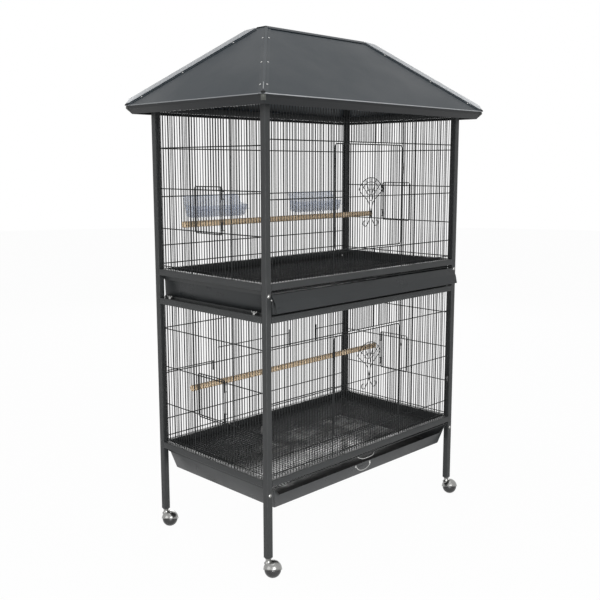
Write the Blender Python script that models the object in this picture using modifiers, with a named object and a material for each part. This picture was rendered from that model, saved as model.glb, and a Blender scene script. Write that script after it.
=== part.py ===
"""Two-tier flight cage on casters, built piece by piece at its real size.

The origin is on the floor under the middle of the cage. +Z is up, the front door side faces -Y.
Every wall is drawn in its own frame: x runs to the right as seen from outside, y runs inward from
the outer face and z is the height above the floor.
"""

import math

import bmesh
import bpy
from mathutils import Matrix, Vector

# Clearances
GAP = 0.0003
DOOR_PLAY = 0.0015

# Square tube frame
FRAME_WIDTH = 0.920
FRAME_DEPTH = 0.530
TUBE = 0.020
TUBE_WALL = 0.0012

# Heights of the frame, from the floor upward
LEG_BOTTOM = 0.062
LEG_LENGTH = 0.217
LOWER_WALL_HEIGHT = 0.465
TRAY_BAY = 0.074
UPPER_WALL_HEIGHT = 0.496

# Wire of the walls, doors and grates
WIRE = 0.0022
FRONT_BAR_PITCH = 0.0116
SIDE_BAR_PITCH = 0.0126
WALL_WIRE_Y = 0.010
WELD_STRIP = 0.001
CROSS_WIRE = 0.003
ROD = 0.005

# Levels of the cross wires above the rail under the wall
FOOT_WIRE_LEVEL = 0.011
SIDE_LEVELS = (0.010, 0.131, 0.257, 0.384)
BACK_LEVELS = (0.016, 0.075, 0.231, 0.383)
BACK_RODS = (0.165, 0.300, 0.510)

# Front doors
DOOR_LEFT = 0.267
DOOR_WIDTH = 0.332
DOOR_HEIGHT = 0.327
UPPER_SILL = 0.071
LOWER_SILL = 0.062
DOOR_THICKNESS = 0.003
DOOR_BORDER = 0.0045
DOOR_CORNER = 0.012

# Side doors
SIDE_RODS = (0.161, 0.352)
SIDE_DOOR_LEFT = 0.184
SIDE_DOOR_WIDTH = 0.134
SIDE_DOOR_BELOW = 0.005
SIDE_DOOR_ABOVE = 0.012
SIDE_DOOR_FRONT_Y = 0.0053
SIDE_DOOR_ROD = 0.003

# Hinge knuckles and lugs
KNUCKLE_RADIUS = 0.0022
KNUCKLE_HEIGHT = 0.016
LUG_HEIGHT = 0.004
LUG_FRONT = 0.0012

# Turn latches and door ornaments
LATCH_LENGTH = 0.036
LATCH_WIDTH = 0.007
LATCH_TONGUE = 0.009
LATCH_TONGUE_HEIGHT = 0.006
LATCH_THICKNESS = 0.002
LATCH_LEVEL = 0.250
FAN_RADIUS = 0.0636
FAN_INNER_RADIUS = 0.044
FAN_SPREAD = 58.0
UPPER_FAN_TOP_LEVEL = 0.2225
LOWER_FAN_TOP_LEVEL = 0.285
FAN_HUB_RADIUS = 0.009
FAN_STEM = 0.083
FAN_CURL_RADIUS = 0.010
FAN_WIRE = 0.0025
FAN_SPOKES = 5

# Roof
EAVE_OUT = 0.055
EAVE_ABOVE_FRAME = 0.001
ROOF_RISE = 0.233
RIDGE_LENGTH = 0.456
RIDGE_FLAT = 0.044
FASCIA_DROP = 0.010
RETURN_DROP = 0.017
RETURN_IN = 0.013
SHEET = 0.001
HIP_CAP_WIDTH = 0.0145
RIDGE_CAP_LIP = 0.014

# Runners, trays and grates
RUNNER_SHEET = 0.0012
RUNNER_DROP = 0.016
RUNNER_LEDGE = 0.008
LEDGE_STEP = 0.0072
TRAY_SHEET = 0.001
TRAY_FLANGE = 0.0085
LOWER_TRAY_DEPTH = 0.066
LOWER_TRAY_TAPER = 0.018
LOWER_TRAY_LIP_CUT = 0.024
UPPER_TRAY_DEPTH = 0.054
UPPER_TRAY_TAPER = 0.001
TRAY_FRONT_INSET = 0.006
GRATE_PITCH = 0.045
GRATE_THICKNESS = 0.003
GRATE_BORDER = 0.005
LOWER_BAIL_MIDDLE = -0.025
LOWER_BAIL_WIDTH = 0.076
LOWER_BAIL_DROP = 0.013
UPPER_BAIL_MIDDLE = -0.0115
UPPER_BAIL_WIDTH = 0.049
UPPER_BAIL_DROP = 0.0
BAIL_REACH = 0.006
BAIL_RADIUS = 0.0015

# Tray handle
HANDLE_MIDDLE = -0.022
HANDLE_WIDTH = 0.070
HANDLE_DROP = 0.019
HANDLE_RADIUS = 0.0016
HANDLE_STAND_OFF = 0.0035
HANDLE_BELOW_LIP = 0.006

# Seed guard on the front of the upper tray
GUARD_SHEET = 0.0012
GUARD_ABOVE_TRAY = 0.0025
GUARD_BACK_HEIGHT = 0.022
GUARD_UPPER_OUT = 0.016
GUARD_UPPER_DROP = 0.0235
GUARD_LOWER_OUT = 0.0065
GUARD_LOWER_DROP = 0.0285

# Casters
BALL_DIAMETER = 0.050
HOOD_CLEARANCE = 0.0015
HOOD_SHEET = 0.0015
HOOD_WRAP = 97.0
CASTER_TRAIL = 0.013
CASTER_TURN = -45.0
NECK_RADIUS = 0.0095
STEM_LENGTH = 0.040
AXLE_RADIUS = 0.002

# Bolts in the posts and wing nuts between the tiers
BOLT_RADIUS = 0.0042
BOLT_HEAD = 0.0024
BOLT_BELOW_UPPER_RAIL = 0.0145
BOLT_BELOW_FLOOR_RAIL = 0.023
WING_NUT_INSET = 0.042
WING_HUB_RADIUS = 0.0042
WING_HUB_HEIGHT = 0.007
WING_SPAN = 0.026
WING_HEIGHT = 0.011
WING_SHEET = 0.0016

# Perches and feeders
PERCH_DIAMETER = 0.020
UPPER_PERCH_Y = 0.390
UPPER_PERCH_LEVEL = 0.148
LOWER_PERCH_Y = 0.364
LOWER_PERCH_LEVEL = 0.209
FEEDER_LENGTH = 0.250
FEEDER_DEPTH = 0.068
FEEDER_HEIGHT = 0.080
FEEDER_TAPER = 0.014
FEEDER_SHEET = 0.0018
FEEDER_LEVEL = 0.159
FEEDER_LEFTS = (0.097, 0.575)

# Heights and lengths that follow from the sizes above
FLOOR_RAIL_BOTTOM = LEG_BOTTOM + LEG_LENGTH
LOWER_WALL_Z = FLOOR_RAIL_BOTTOM + TUBE
LOWER_WALL_TOP = LOWER_WALL_Z + LOWER_WALL_HEIGHT
UPPER_RAIL_BOTTOM = LOWER_WALL_TOP + TUBE + TRAY_BAY
UPPER_WALL_Z = UPPER_RAIL_BOTTOM + TUBE
UPPER_WALL_TOP = UPPER_WALL_Z + UPPER_WALL_HEIGHT
FRAME_TOP = UPPER_WALL_TOP + TUBE
EAVE_Z = FRAME_TOP + EAVE_ABOVE_FRAME
RIDGE_Z = EAVE_Z + ROOF_RISE
HALF_WIDTH = FRAME_WIDTH / 2
HALF_DEPTH = FRAME_DEPTH / 2
FRONT_SPAN = FRAME_WIDTH - 2 * TUBE
SIDE_SPAN = FRAME_DEPTH - 2 * TUBE
WIRE_BACK_Y = WALL_WIRE_Y + WIRE / 2
CROSS_FRONT_Y = WIRE_BACK_Y + GAP
CROSS_BACK_Y = CROSS_FRONT_Y + CROSS_WIRE
DOOR_FRONT_Y = WALL_WIRE_Y - DOOR_THICKNESS / 2

# Frames of the four walls: origin at the left end seen from outside, then a turn about Z
WALL_FRAMES = {
    "front": Matrix.Translation((-HALF_WIDTH + TUBE, -HALF_DEPTH, 0)),
    "left": Matrix.Translation((-HALF_WIDTH, HALF_DEPTH - TUBE, 0)) @ Matrix.Rotation(-math.pi / 2, 4, "Z"),
    "right": Matrix.Translation((HALF_WIDTH, -HALF_DEPTH + TUBE, 0)) @ Matrix.Rotation(math.pi / 2, 4, "Z"),
    "back": Matrix.Translation((HALF_WIDTH - TUBE, HALF_DEPTH, 0)) @ Matrix.Rotation(math.pi, 4, "Z"),
}


def clear_scene():
    """Remove every object that the file opened with."""
    for item in list(bpy.data.objects):
        bpy.data.objects.remove(item, do_unlink=True)


def new_collection(name):
    """Return a fresh collection linked to the scene."""
    group = bpy.data.collections.new(name)
    bpy.context.scene.collection.children.link(group)
    return group


def make_material(name, colour, roughness, metallic, alpha=1.0):
    """Return a Principled material with the given linear colour."""
    material = bpy.data.materials.new(name)
    material.use_nodes = True
    shader = material.node_tree.nodes["Principled BSDF"]
    shader.inputs["Base Color"].default_value = (*colour, 1.0)
    shader.inputs["Roughness"].default_value = roughness
    shader.inputs["Metallic"].default_value = metallic
    shader.inputs["Alpha"].default_value = alpha
    return material


clear_scene()
CAGE = new_collection("bird_cage")
CUTTERS = new_collection("cutters")
FRAME_PAINT = (0.048, 0.050, 0.050)
ROOF_PAINT = (0.107, 0.114, 0.120)


def finish_piece(item, colour, roughness=0.45, metallic=0.3, smooth=False, alpha=1.0):
    """Give a finished piece its own material and, if it is round, smooth shading."""
    item.data.materials.clear()
    item.data.materials.append(make_material(item.name + "_paint", colour, roughness, metallic, alpha))
    if smooth:
        item.data.shade_smooth()
        item.data.set_sharp_from_angle(angle=math.radians(35))
    return item


def object_from_bmesh(name, shape, group):
    """Turn a bmesh into an object with its faces pointing out."""
    bmesh.ops.recalc_face_normals(shape, faces=shape.faces)
    mesh = bpy.data.meshes.new(name)
    shape.to_mesh(mesh)
    shape.free()
    item = bpy.data.objects.new(name, mesh)
    group.objects.link(item)
    return item


def place(item, frame, origin=(0.0, 0.0, 0.0)):
    """Put an item drawn in a frame into the world with its own origin at the given frame point."""
    item.data.transform(Matrix.Translation(-Vector(origin)))
    item.matrix_world = frame @ Matrix.Translation(origin)
    return item


def add_box(shape, low, high):
    """Add a box between two corners to a bmesh."""
    made = bmesh.ops.create_cube(shape, size=1.0)
    size = [high[i] - low[i] for i in range(3)]
    middle = [(high[i] + low[i]) / 2 for i in range(3)]
    bmesh.ops.scale(shape, vec=size, verts=made["verts"])
    bmesh.ops.translate(shape, vec=middle, verts=made["verts"])
    return made["verts"]


def add_cylinder(shape, start, end, radius, sides=12, end_radius=None):
    """Add a capped cylinder or cone between two points to a bmesh."""
    start = Vector(start)
    end = Vector(end)
    run = end - start
    turn = Vector((0, 0, 1)).rotation_difference(run).to_matrix().to_4x4()
    far_radius = radius if end_radius is None else end_radius
    bmesh.ops.create_cone(
        shape, cap_ends=True, segments=sides, radius1=radius, radius2=far_radius,
        depth=run.length, matrix=Matrix.Translation((start + end) / 2) @ turn,
    )


def boxes_object(name, boxes, group):
    """Return one object that holds several boxes."""
    shape = bmesh.new()
    for low, high in boxes:
        add_box(shape, low, high)
    return object_from_bmesh(name, shape, group)


def combine(item, tool, operation, solver="EXACT"):
    """Add a Boolean modifier that joins a tool to an item or cuts it out."""
    tool.hide_render = True
    tool.display_type = "WIRE"
    step = item.modifiers.new(operation.lower() + "_" + tool.name, "BOOLEAN")
    step.operation = operation
    step.object = tool
    step.solver = solver


def mesh_from_curve(curve_item, flat=False):
    """Replace a curve object with a welded mesh object of the same place; flat merges level faces."""
    graph = bpy.context.evaluated_depsgraph_get()
    graph.update()
    mesh = bpy.data.meshes.new_from_object(curve_item.evaluated_get(graph))
    shape = bmesh.new()
    shape.from_mesh(mesh)
    bmesh.ops.remove_doubles(shape, verts=shape.verts, dist=0.000002)
    if flat:
        bmesh.ops.dissolve_limit(shape, angle_limit=0.0005, verts=shape.verts, edges=shape.edges)
    bmesh.ops.recalc_face_normals(shape, faces=shape.faces)
    shape.to_mesh(mesh)
    shape.free()
    name = curve_item.name
    group = curve_item.users_collection[0]
    curve_item.name = name + "_curve"
    item = bpy.data.objects.new(name, mesh)
    item.matrix_world = curve_item.matrix_world
    group.objects.link(item)
    bpy.data.objects.remove(curve_item, do_unlink=True)
    return item


def flat_outline(name, loops, thickness, group, plane_turn=None):
    """Fill closed loops of a 2D curve and give them thickness; inner loops are holes.

    The outline's x and y become x and z, and the thickness lies along y, unless another turn is given.
    """
    curve = bpy.data.curves.new(name, "CURVE")
    curve.dimensions = "2D"
    curve.fill_mode = "BOTH"
    curve.extrude = thickness / 2
    for loop in loops:
        spline = curve.splines.new("POLY")
        spline.points.add(len(loop) - 1)
        for point, (x, y) in zip(spline.points, loop):
            point.co = (x, y, 0.0, 1.0)
        spline.use_cyclic_u = True
    item = bpy.data.objects.new(name, curve)
    group.objects.link(item)
    item = mesh_from_curve(item, flat=True)
    turn = Matrix.Rotation(math.pi / 2, 4, "X") if plane_turn is None else plane_turn
    item.data.transform(turn)
    return item


def wire_tube(name, points, radius, group, closed=False, fineness=1):
    """Return a round wire with closed ends along a list of points, as a welded mesh."""
    curve = bpy.data.curves.new(name, "CURVE")
    curve.dimensions = "3D"
    curve.bevel_depth = radius
    curve.bevel_resolution = fineness
    curve.use_fill_caps = True
    spline = curve.splines.new("POLY")
    spline.points.add(len(points) - 1)
    for point, place_at in zip(spline.points, points):
        point.co = (*place_at, 1.0)
    spline.use_cyclic_u = closed
    item = bpy.data.objects.new(name, curve)
    group.objects.link(item)
    return mesh_from_curve(item)


def rectangle(x0, y0, x1, y1):
    """Return the corners of a rectangle."""
    return [(x0, y0), (x1, y0), (x1, y1), (x0, y1)]


def rounded_rectangle(x0, y0, x1, y1, radius, steps=3):
    """Return a rectangle outline whose corners are arcs."""
    corners = [
        (x1 - radius, y0 + radius, -90), (x1 - radius, y1 - radius, 0),
        (x0 + radius, y1 - radius, 90), (x0 + radius, y0 + radius, 180),
    ]
    outline = []
    for centre_x, centre_y, first in corners:
        for step in range(steps + 1):
            angle = math.radians(first + 90 * step / steps)
            outline.append((centre_x + radius * math.cos(angle), centre_y + radius * math.sin(angle)))
    return outline


def bay_holes(left, right, low, high, pitch):
    """Return the equal gaps between evenly spaced bars in one bay."""
    count = max(1, round((right - left) / pitch))
    gap = (right - left - (count - 1) * WIRE) / count
    holes = []
    for index in range(count):
        start = left + index * (gap + WIRE)
        holes.append(rectangle(start, low, start + gap, high))
    return holes


def merged(name, items, group):
    """Put several separate mesh objects into one object and remove them."""
    shape = bmesh.new()
    for item in items:
        shape.from_mesh(item.data)
        bpy.data.objects.remove(item, do_unlink=True)
    return object_from_bmesh(name, shape, group)


def cross_wire(name, stand_at, level):
    """Build one cross wire behind the bars, with a tooth into the rod at each of its ends."""
    tooth = ROD * 0.3
    front = WIRE_BACK_Y - WIRE * 0.3
    start = stand_at[0] - tooth
    end = stand_at[-1] + tooth
    outline = [(start, CROSS_BACK_Y), (end, CROSS_BACK_Y)]
    for x in reversed(stand_at):
        outline += [(x + tooth, CROSS_FRONT_Y), (x + tooth, front)]
        outline += [(x - tooth, front), (x - tooth, CROSS_FRONT_Y)]
    outline = outline[:2] + outline[3:-1]
    item = flat_outline(name, [outline], CROSS_WIRE, CUTTERS, Matrix.Identity(4))
    item.data.transform(Matrix.Translation((0, 0, level)))
    return item


def wall_panel(name, side, span, low, high, rods, pitch, opening, levels, lugs):
    """Build one welded wall: two hollow rails, rods, fine bars and cross wires behind them.

    rods is a list of (x, width), pitch is the spacing of the bars, opening is (index of its left rod, bottom,
    top) or None, levels are the heights of the cross wires and lugs are (left, right, front, bottom, top)
    hinge blocks.
    """
    length = span - 2 * GAP
    bar_foot = low + WELD_STRIP
    bar_head = high - WELD_STRIP
    holes = []
    for index, ((left, left_width), (right, right_width)) in enumerate(zip(rods, rods[1:])):
        left += left_width / 2
        right -= right_width / 2
        if opening and index == opening[0]:
            sill, head = opening[1], opening[2]
            holes.append(rectangle(left, sill, right, head))
            holes += bay_holes(left, right, bar_foot, sill - CROSS_WIRE, pitch)
            holes += bay_holes(left, right, head + CROSS_WIRE, bar_head, pitch)
        else:
            holes += bay_holes(left, right, bar_foot, bar_head, pitch)
    first, last = rods[0], rods[-1]
    outer = rectangle(first[0] - first[1] / 2, low - TUBE / 2, last[0] + last[1] / 2, high + TUBE / 2)
    panel = flat_outline(name, [outer] + holes, WIRE, CAGE)
    panel.data.transform(Matrix.Translation((0, WALL_WIRE_Y, 0)))

    rails = boxes_object(name + "_rails", [
        ((0, 0, low - TUBE), (length, TUBE, low)),
        ((0, 0, high), (length, TUBE, high + TUBE)),
    ], CUTTERS)
    stand_at = [x for x, _ in rods]
    crosses = []
    for level in levels:
        runs = [(stand_at[0], stand_at[-1])]
        if opening and opening[1] < level < opening[2]:
            runs = [(stand_at[0], stand_at[opening[0]]), (stand_at[opening[0] + 1], stand_at[-1])]
        for run in runs:
            crosses.append(cross_wire("%s_cross_%d" % (name, len(crosses)), run, level))
    cross_wires = merged(name + "_crosses", crosses, CUTTERS)
    hollows = boxes_object(name + "_hollows", [
        ((-TUBE, TUBE_WALL, base + TUBE_WALL), (length + TUBE, TUBE - TUBE_WALL, base + TUBE - TUBE_WALL))
        for base in (low - TUBE, high)
    ], CUTTERS)
    frame = WALL_FRAMES[side] @ Matrix.Translation((GAP, 0, 0))
    tools = [(rails, "UNION"), (cross_wires, "UNION")]
    if lugs:
        lug_blocks = boxes_object(name + "_lugs", [
            ((left, lug_y, bottom), (right, WALL_WIRE_Y, top)) for left, right, lug_y, bottom, top in lugs
        ], CUTTERS)
        tools.append((lug_blocks, "UNION"))
    tools.append((hollows, "DIFFERENCE"))
    for tool, operation in tools:
        place(tool, frame)
        combine(panel, tool, operation, "MANIFOLD")
    place(panel, frame)
    return finish_piece(panel, FRAME_PAINT)


def knuckle_heights(low, high):
    """Return the middle heights of the two hinge knuckles of a door."""
    height = high - low
    return (low + 0.18 * height, high - 0.18 * height)


def hinge_lugs(left, right, front_y, low, high):
    """Return the wall's hinge blocks: one above and one below each knuckle of a door."""
    lugs = []
    for middle in knuckle_heights(low, high):
        top = middle + KNUCKLE_HEIGHT / 2 + GAP
        bottom = middle - KNUCKLE_HEIGHT / 2 - GAP
        lugs.append((left, right, front_y, top, top + LUG_HEIGHT))
        lugs.append((left, right, front_y, bottom - LUG_HEIGHT, bottom))
    return lugs


def wire_door(name, side, left, right, low, high, pitch, front_y, hinge_x, levels):
    """Build a door of bars in a rounded border with two knuckles on its hinge axis."""
    border = DOOR_BORDER
    outer = rounded_rectangle(left, low, right, high, DOOR_CORNER)
    holes = bay_holes(left + border, right - border, low + border, high - border, pitch)
    corner_cut = DOOR_CORNER - border
    for index in (0, len(holes) - 1):
        (x0, y0), (x1, _), (_, y1), _ = holes[index]
        holes[index] = rectangle(x0, y0 + corner_cut, x1, y1 - corner_cut)
    door = flat_outline(name, [outer] + holes, DOOR_THICKNESS, CAGE)
    door.data.transform(Matrix.Translation((0, front_y + DOOR_THICKNESS / 2, 0)))
    axis_y = front_y - DOOR_PLAY
    frame = WALL_FRAMES[side] @ Matrix.Translation((GAP, 0, 0))
    origin = (hinge_x, axis_y, low)

    shape = bmesh.new()
    for middle in knuckle_heights(low, high):
        foot, head = middle - KNUCKLE_HEIGHT / 2, middle + KNUCKLE_HEIGHT / 2
        add_cylinder(shape, (hinge_x, axis_y, foot), (hinge_x, axis_y, head), KNUCKLE_RADIUS, sides=8)
    knuckles = object_from_bmesh(name + "_knuckles", shape, CUTTERS)
    tools = [knuckles]
    if levels:
        outer_y = front_y - GAP
        boxes = []
        for level in levels:
            foot, head = level - CROSS_WIRE / 2, level + CROSS_WIRE / 2
            boxes.append(((left + border / 3, outer_y - WIRE, foot), (right - border / 3, outer_y, head)))
        shape = bmesh.new()
        for low_corner, high_corner in boxes:
            add_box(shape, low_corner, high_corner)
        tools.append(object_from_bmesh(name + "_levels", shape, CUTTERS))
        tools.append(boxes_object(name + "_welds", [
            ((x - border / 4, outer_y - WIRE / 2, level - CROSS_WIRE / 3),
             (x + border / 4, front_y + WIRE / 2, level + CROSS_WIRE / 3))
            for level in levels for x in (left + border * 0.6, right - border * 0.6)
        ], CUTTERS))
    for tool in tools:
        place(tool, frame, origin)
        combine(door, tool, "UNION", "MANIFOLD")
    place(door, frame, origin)
    return finish_piece(door, FRAME_PAINT)


def turn_latch(name, side, pivot_x, front_y, level):
    """Build a flat turn latch that pivots on a door's free border."""
    half = LATCH_LENGTH / 2
    side_x = LATCH_WIDTH / 2
    outline = [
        (-side_x, -half), (side_x, -half), (side_x, -LATCH_TONGUE_HEIGHT),
        (LATCH_TONGUE, -LATCH_TONGUE_HEIGHT), (LATCH_TONGUE, LATCH_TONGUE_HEIGHT),
        (side_x, LATCH_TONGUE_HEIGHT), (side_x, half), (-side_x, half),
    ]
    latch = flat_outline(name, [outline], LATCH_THICKNESS, CAGE)
    head = bmesh.new()
    add_cylinder(head, (0, 0, 0), (0, -LATCH_THICKNESS * 2, 0), BOLT_RADIUS * 0.8, sides=10)
    knob = object_from_bmesh(name + "_knob", head, CUTTERS)
    frame = WALL_FRAMES[side] @ Matrix.Translation((GAP, 0, 0))
    frame = frame @ Matrix.Translation((pivot_x, front_y - GAP - LATCH_THICKNESS / 2, level))
    place(knob, frame)
    combine(latch, knob, "UNION")
    place(latch, frame)
    return finish_piece(latch, (0.03, 0.03, 0.03), 0.35, 0.6)


def arc_points(centre_z, centre_x, radius, first, last, count):
    """Return points (x, z) on an arc, angles in degrees from +x toward +z."""
    points = []
    for index in range(count):
        angle = math.radians(first + (last - first) * index / (count - 1))
        points.append((centre_x + radius * math.cos(angle), centre_z + radius * math.sin(angle)))
    return points


def door_fan(name, side, middle_x, back_y, top, origin):
    """Build the fan-shaped ornament: two arches, spokes, a stem and two curls."""
    half = FAN_WIRE / 2
    hub_z = top - FAN_RADIUS
    first, last = 90 - FAN_SPREAD, 90 + FAN_SPREAD
    outline = arc_points(hub_z, middle_x, FAN_RADIUS, first, last, 13)
    foot = hub_z - FAN_STEM
    outline += [
        (middle_x - FAN_HUB_RADIUS, hub_z), (middle_x - half, hub_z - FAN_HUB_RADIUS),
        (middle_x - half, foot), (middle_x + half, foot),
        (middle_x + half, hub_z - FAN_HUB_RADIUS), (middle_x + FAN_HUB_RADIUS, hub_z),
    ]
    holes = []
    for inner, outer in ((FAN_HUB_RADIUS, FAN_INNER_RADIUS), (FAN_INNER_RADIUS, FAN_RADIUS)):
        start_radius, end_radius = inner + half, outer - half * 2 if outer == FAN_RADIUS else outer - half
        for index in range(FAN_SPOKES - 1):
            low = first + (last - first) * index / (FAN_SPOKES - 1)
            high = first + (last - first) * (index + 1) / (FAN_SPOKES - 1)
            far_trim = math.degrees(half / end_radius)
            near_trim = math.degrees(half / start_radius)
            hole = arc_points(hub_z, middle_x, end_radius, low + far_trim, high - far_trim, 4)
            hole += arc_points(hub_z, middle_x, start_radius, high - near_trim, low + near_trim, 2)
            holes.append(hole)
    fan = flat_outline(name, [outline] + holes, FAN_WIRE, CAGE)
    curls = []
    for way in (-1, 1):
        middle = middle_x + way * FAN_CURL_RADIUS
        level = foot + FAN_CURL_RADIUS * 0.5
        start = 180 if way > 0 else 0
        wide = arc_points(level, middle, FAN_CURL_RADIUS + half * 0.9, start, start + way * 245, 9)
        narrow = arc_points(level, middle, FAN_CURL_RADIUS - half * 0.9, start + way * 245, start, 9)
        curls.append(flat_outline("%s_curl_%d" % (name, way), [wide + narrow], FAN_WIRE * 0.9, CUTTERS))
    frame = WALL_FRAMES[side] @ Matrix.Translation((GAP, 0, 0))
    for piece in [fan] + curls:
        piece.data.transform(Matrix.Translation((0, back_y - GAP - half, 0)))
        place(piece, frame, origin)
    for tool in curls:
        combine(fan, tool, "UNION")
    return finish_piece(fan, FRAME_PAINT)


def build_front_tier(tier, low, high, sill, fan_top_level):
    """Build one front wall with its door, latch and ornament."""
    right_edge = DOOR_LEFT + DOOR_WIDTH
    length = FRONT_SPAN - 2 * GAP
    first = ROD / 2 + GAP
    bottom = low + sill
    top = bottom + DOOR_HEIGHT
    rods = [(first, ROD), (DOOR_LEFT, ROD), (right_edge, ROD), (length - first, ROD)]
    door_left = DOOR_LEFT + ROD / 2 + DOOR_PLAY
    door_right = right_edge - ROD / 2 - DOOR_PLAY
    lug_y = DOOR_FRONT_Y - DOOR_PLAY - LUG_FRONT
    lugs = hinge_lugs(DOOR_LEFT, door_left - GAP, lug_y, bottom + DOOR_PLAY, top - DOOR_PLAY)
    levels = (low + FOOT_WIRE_LEVEL, bottom - CROSS_WIRE, bottom + DOOR_HEIGHT / 2, top + CROSS_WIRE)
    wall_panel(
        tier + "_front_wall", "front", FRONT_SPAN, low, high, rods, FRONT_BAR_PITCH,
        (1, bottom, top), levels, lugs,
    )
    door = wire_door(
        tier + "_front_door", "front", door_left, door_right, bottom + DOOR_PLAY, top - DOOR_PLAY,
        FRONT_BAR_PITCH, DOOR_FRONT_Y, door_left, (bottom + DOOR_HEIGHT / 2,),
    )
    latch_x = door_right - DOOR_BORDER / 2
    turn_latch(tier + "_door_latch", "front", latch_x, DOOR_FRONT_Y, bottom + LATCH_LEVEL)
    origin = (door_left, DOOR_FRONT_Y - DOOR_PLAY, bottom + DOOR_PLAY)
    door_fan(
        tier + "_door_fan", "front", (door_left + door_right) / 2, DOOR_FRONT_Y - GAP - WIRE,
        bottom + fan_top_level, origin,
    )
    return door


def build_side_tier(tier, side, low, high):
    """Build one side wall with its small door. Both sides are the same part, one turned half round."""
    length = SIDE_SPAN - 2 * GAP
    first = ROD / 2 + GAP
    sill = low + SIDE_LEVELS[1] + CROSS_WIRE
    head = low + SIDE_LEVELS[2] - CROSS_WIRE
    free_edge = SIDE_DOOR_LEFT
    hinge_edge = SIDE_DOOR_LEFT + SIDE_DOOR_WIDTH
    hinge_post = hinge_edge + GAP + SIDE_DOOR_ROD
    free_post = free_edge + SIDE_DOOR_ROD
    places = [first, SIDE_RODS[0], free_post, hinge_post, SIDE_RODS[1], length - first]
    widths = (ROD, ROD, SIDE_DOOR_ROD, SIDE_DOOR_ROD, ROD, ROD)
    rods = list(zip(places, widths))
    bottom = low + SIDE_LEVELS[1] - SIDE_DOOR_BELOW
    top = low + SIDE_LEVELS[2] + SIDE_DOOR_ABOVE
    lug_y = SIDE_DOOR_FRONT_Y - DOOR_PLAY - LUG_FRONT
    lugs = hinge_lugs(hinge_edge + GAP, hinge_post, lug_y, bottom, top)
    levels = [low + level for level in SIDE_LEVELS]
    wall_panel(
        "%s_%s_wall" % (tier, side), side, SIDE_SPAN, low, high, rods, SIDE_BAR_PITCH,
        (2, sill, head), levels, lugs,
    )
    wire_door(
        "%s_%s_door" % (tier, side), side, free_edge, hinge_edge, bottom, top, SIDE_BAR_PITCH,
        SIDE_DOOR_FRONT_Y, hinge_edge, (),
    )


def build_back_tier(tier, low, high):
    """Build one back wall."""
    length = FRONT_SPAN - 2 * GAP
    first = ROD / 2 + GAP
    rods = [(x, ROD) for x in (first, *BACK_RODS, length - first)]
    levels = [low + level for level in BACK_LEVELS]
    wall_panel(tier + "_back_wall", "back", FRONT_SPAN, low, high, rods, FRONT_BAR_PITCH, None, levels, [])


def roof_height(inward, run):
    """Return the height of the roof's outer face at a distance inward from the eave."""
    return EAVE_Z + ROOF_RISE * inward / run


FRONT_RUN = HALF_DEPTH + EAVE_OUT - RIDGE_FLAT / 2
SIDE_RUN = HALF_WIDTH + EAVE_OUT - RIDGE_LENGTH / 2


def build_posts():
    """Build the four corner posts: hollow square tubes from the caster to the roof sheet."""
    sheet_drop = SHEET * math.hypot(1, ROOF_RISE / FRONT_RUN)
    top = min(roof_height(EAVE_OUT, FRONT_RUN), roof_height(EAVE_OUT, SIDE_RUN)) - sheet_drop - GAP
    for depth_name, depth_way in (("front", -1), ("back", 1)):
        for width_name, width_way in (("left", -1), ("right", 1)):
            name = "%s_%s_post" % (depth_name, width_name)
            centre = Vector((width_way * (HALF_WIDTH - TUBE / 2), depth_way * (HALF_DEPTH - TUBE / 2), 0))
            frame = Matrix.Translation(centre)
            half = TUBE / 2
            post = boxes_object(name, [((-half, -half, LEG_BOTTOM), (half, half, top))], CAGE)
            inner = half - TUBE_WALL
            bore = boxes_object(name + "_bore", [
                ((-inner, -inner, LEG_BOTTOM - TUBE), (inner, inner, top + TUBE)),
            ], CUTTERS)
            heads = bmesh.new()
            sunk = depth_way * (half - TUBE_WALL / 2)
            proud = depth_way * (half + BOLT_HEAD)
            upper_bolt = UPPER_RAIL_BOTTOM - BOLT_BELOW_UPPER_RAIL
            lower_bolt = FLOOR_RAIL_BOTTOM - BOLT_BELOW_FLOOR_RAIL
            for height in (upper_bolt, lower_bolt):
                add_cylinder(
                    heads, (0, sunk, height), (0, proud, height), BOLT_RADIUS, sides=10,
                    end_radius=BOLT_RADIUS * 0.55,
                )
            bolts = object_from_bmesh(name + "_bolts", heads, CUTTERS)
            for tool, operation in ((bolts, "UNION"), (bore, "DIFFERENCE")):
                place(tool, frame)
                combine(post, tool, operation)
            place(post, frame)
            finish_piece(post, FRAME_PAINT)


def roof_profile(run):
    """Return the outer and inner points of a roof sheet as (distance inward from the eave, height)."""
    slope = math.atan2(ROOF_RISE, run)
    lean = math.atan2(RETURN_IN, RETURN_DROP)
    outer = [
        (run - GAP, roof_height(run - GAP, run)),
        (0.0, EAVE_Z),
        (0.0, EAVE_Z - FASCIA_DROP),
        (RETURN_IN, EAVE_Z - FASCIA_DROP - RETURN_DROP),
    ]
    eave_in = SHEET * math.tan((math.pi / 2 - slope) / 2)
    fold_in = SHEET * math.tan(lean / 2)
    inner = [
        (outer[3][0] + SHEET * math.cos(lean), outer[3][1] + SHEET * math.sin(lean)),
        (SHEET, outer[2][1] + fold_in),
        (SHEET, EAVE_Z - eave_in),
        (run - GAP, outer[0][1] - SHEET / math.cos(slope)),
    ]
    return outer + inner


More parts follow.
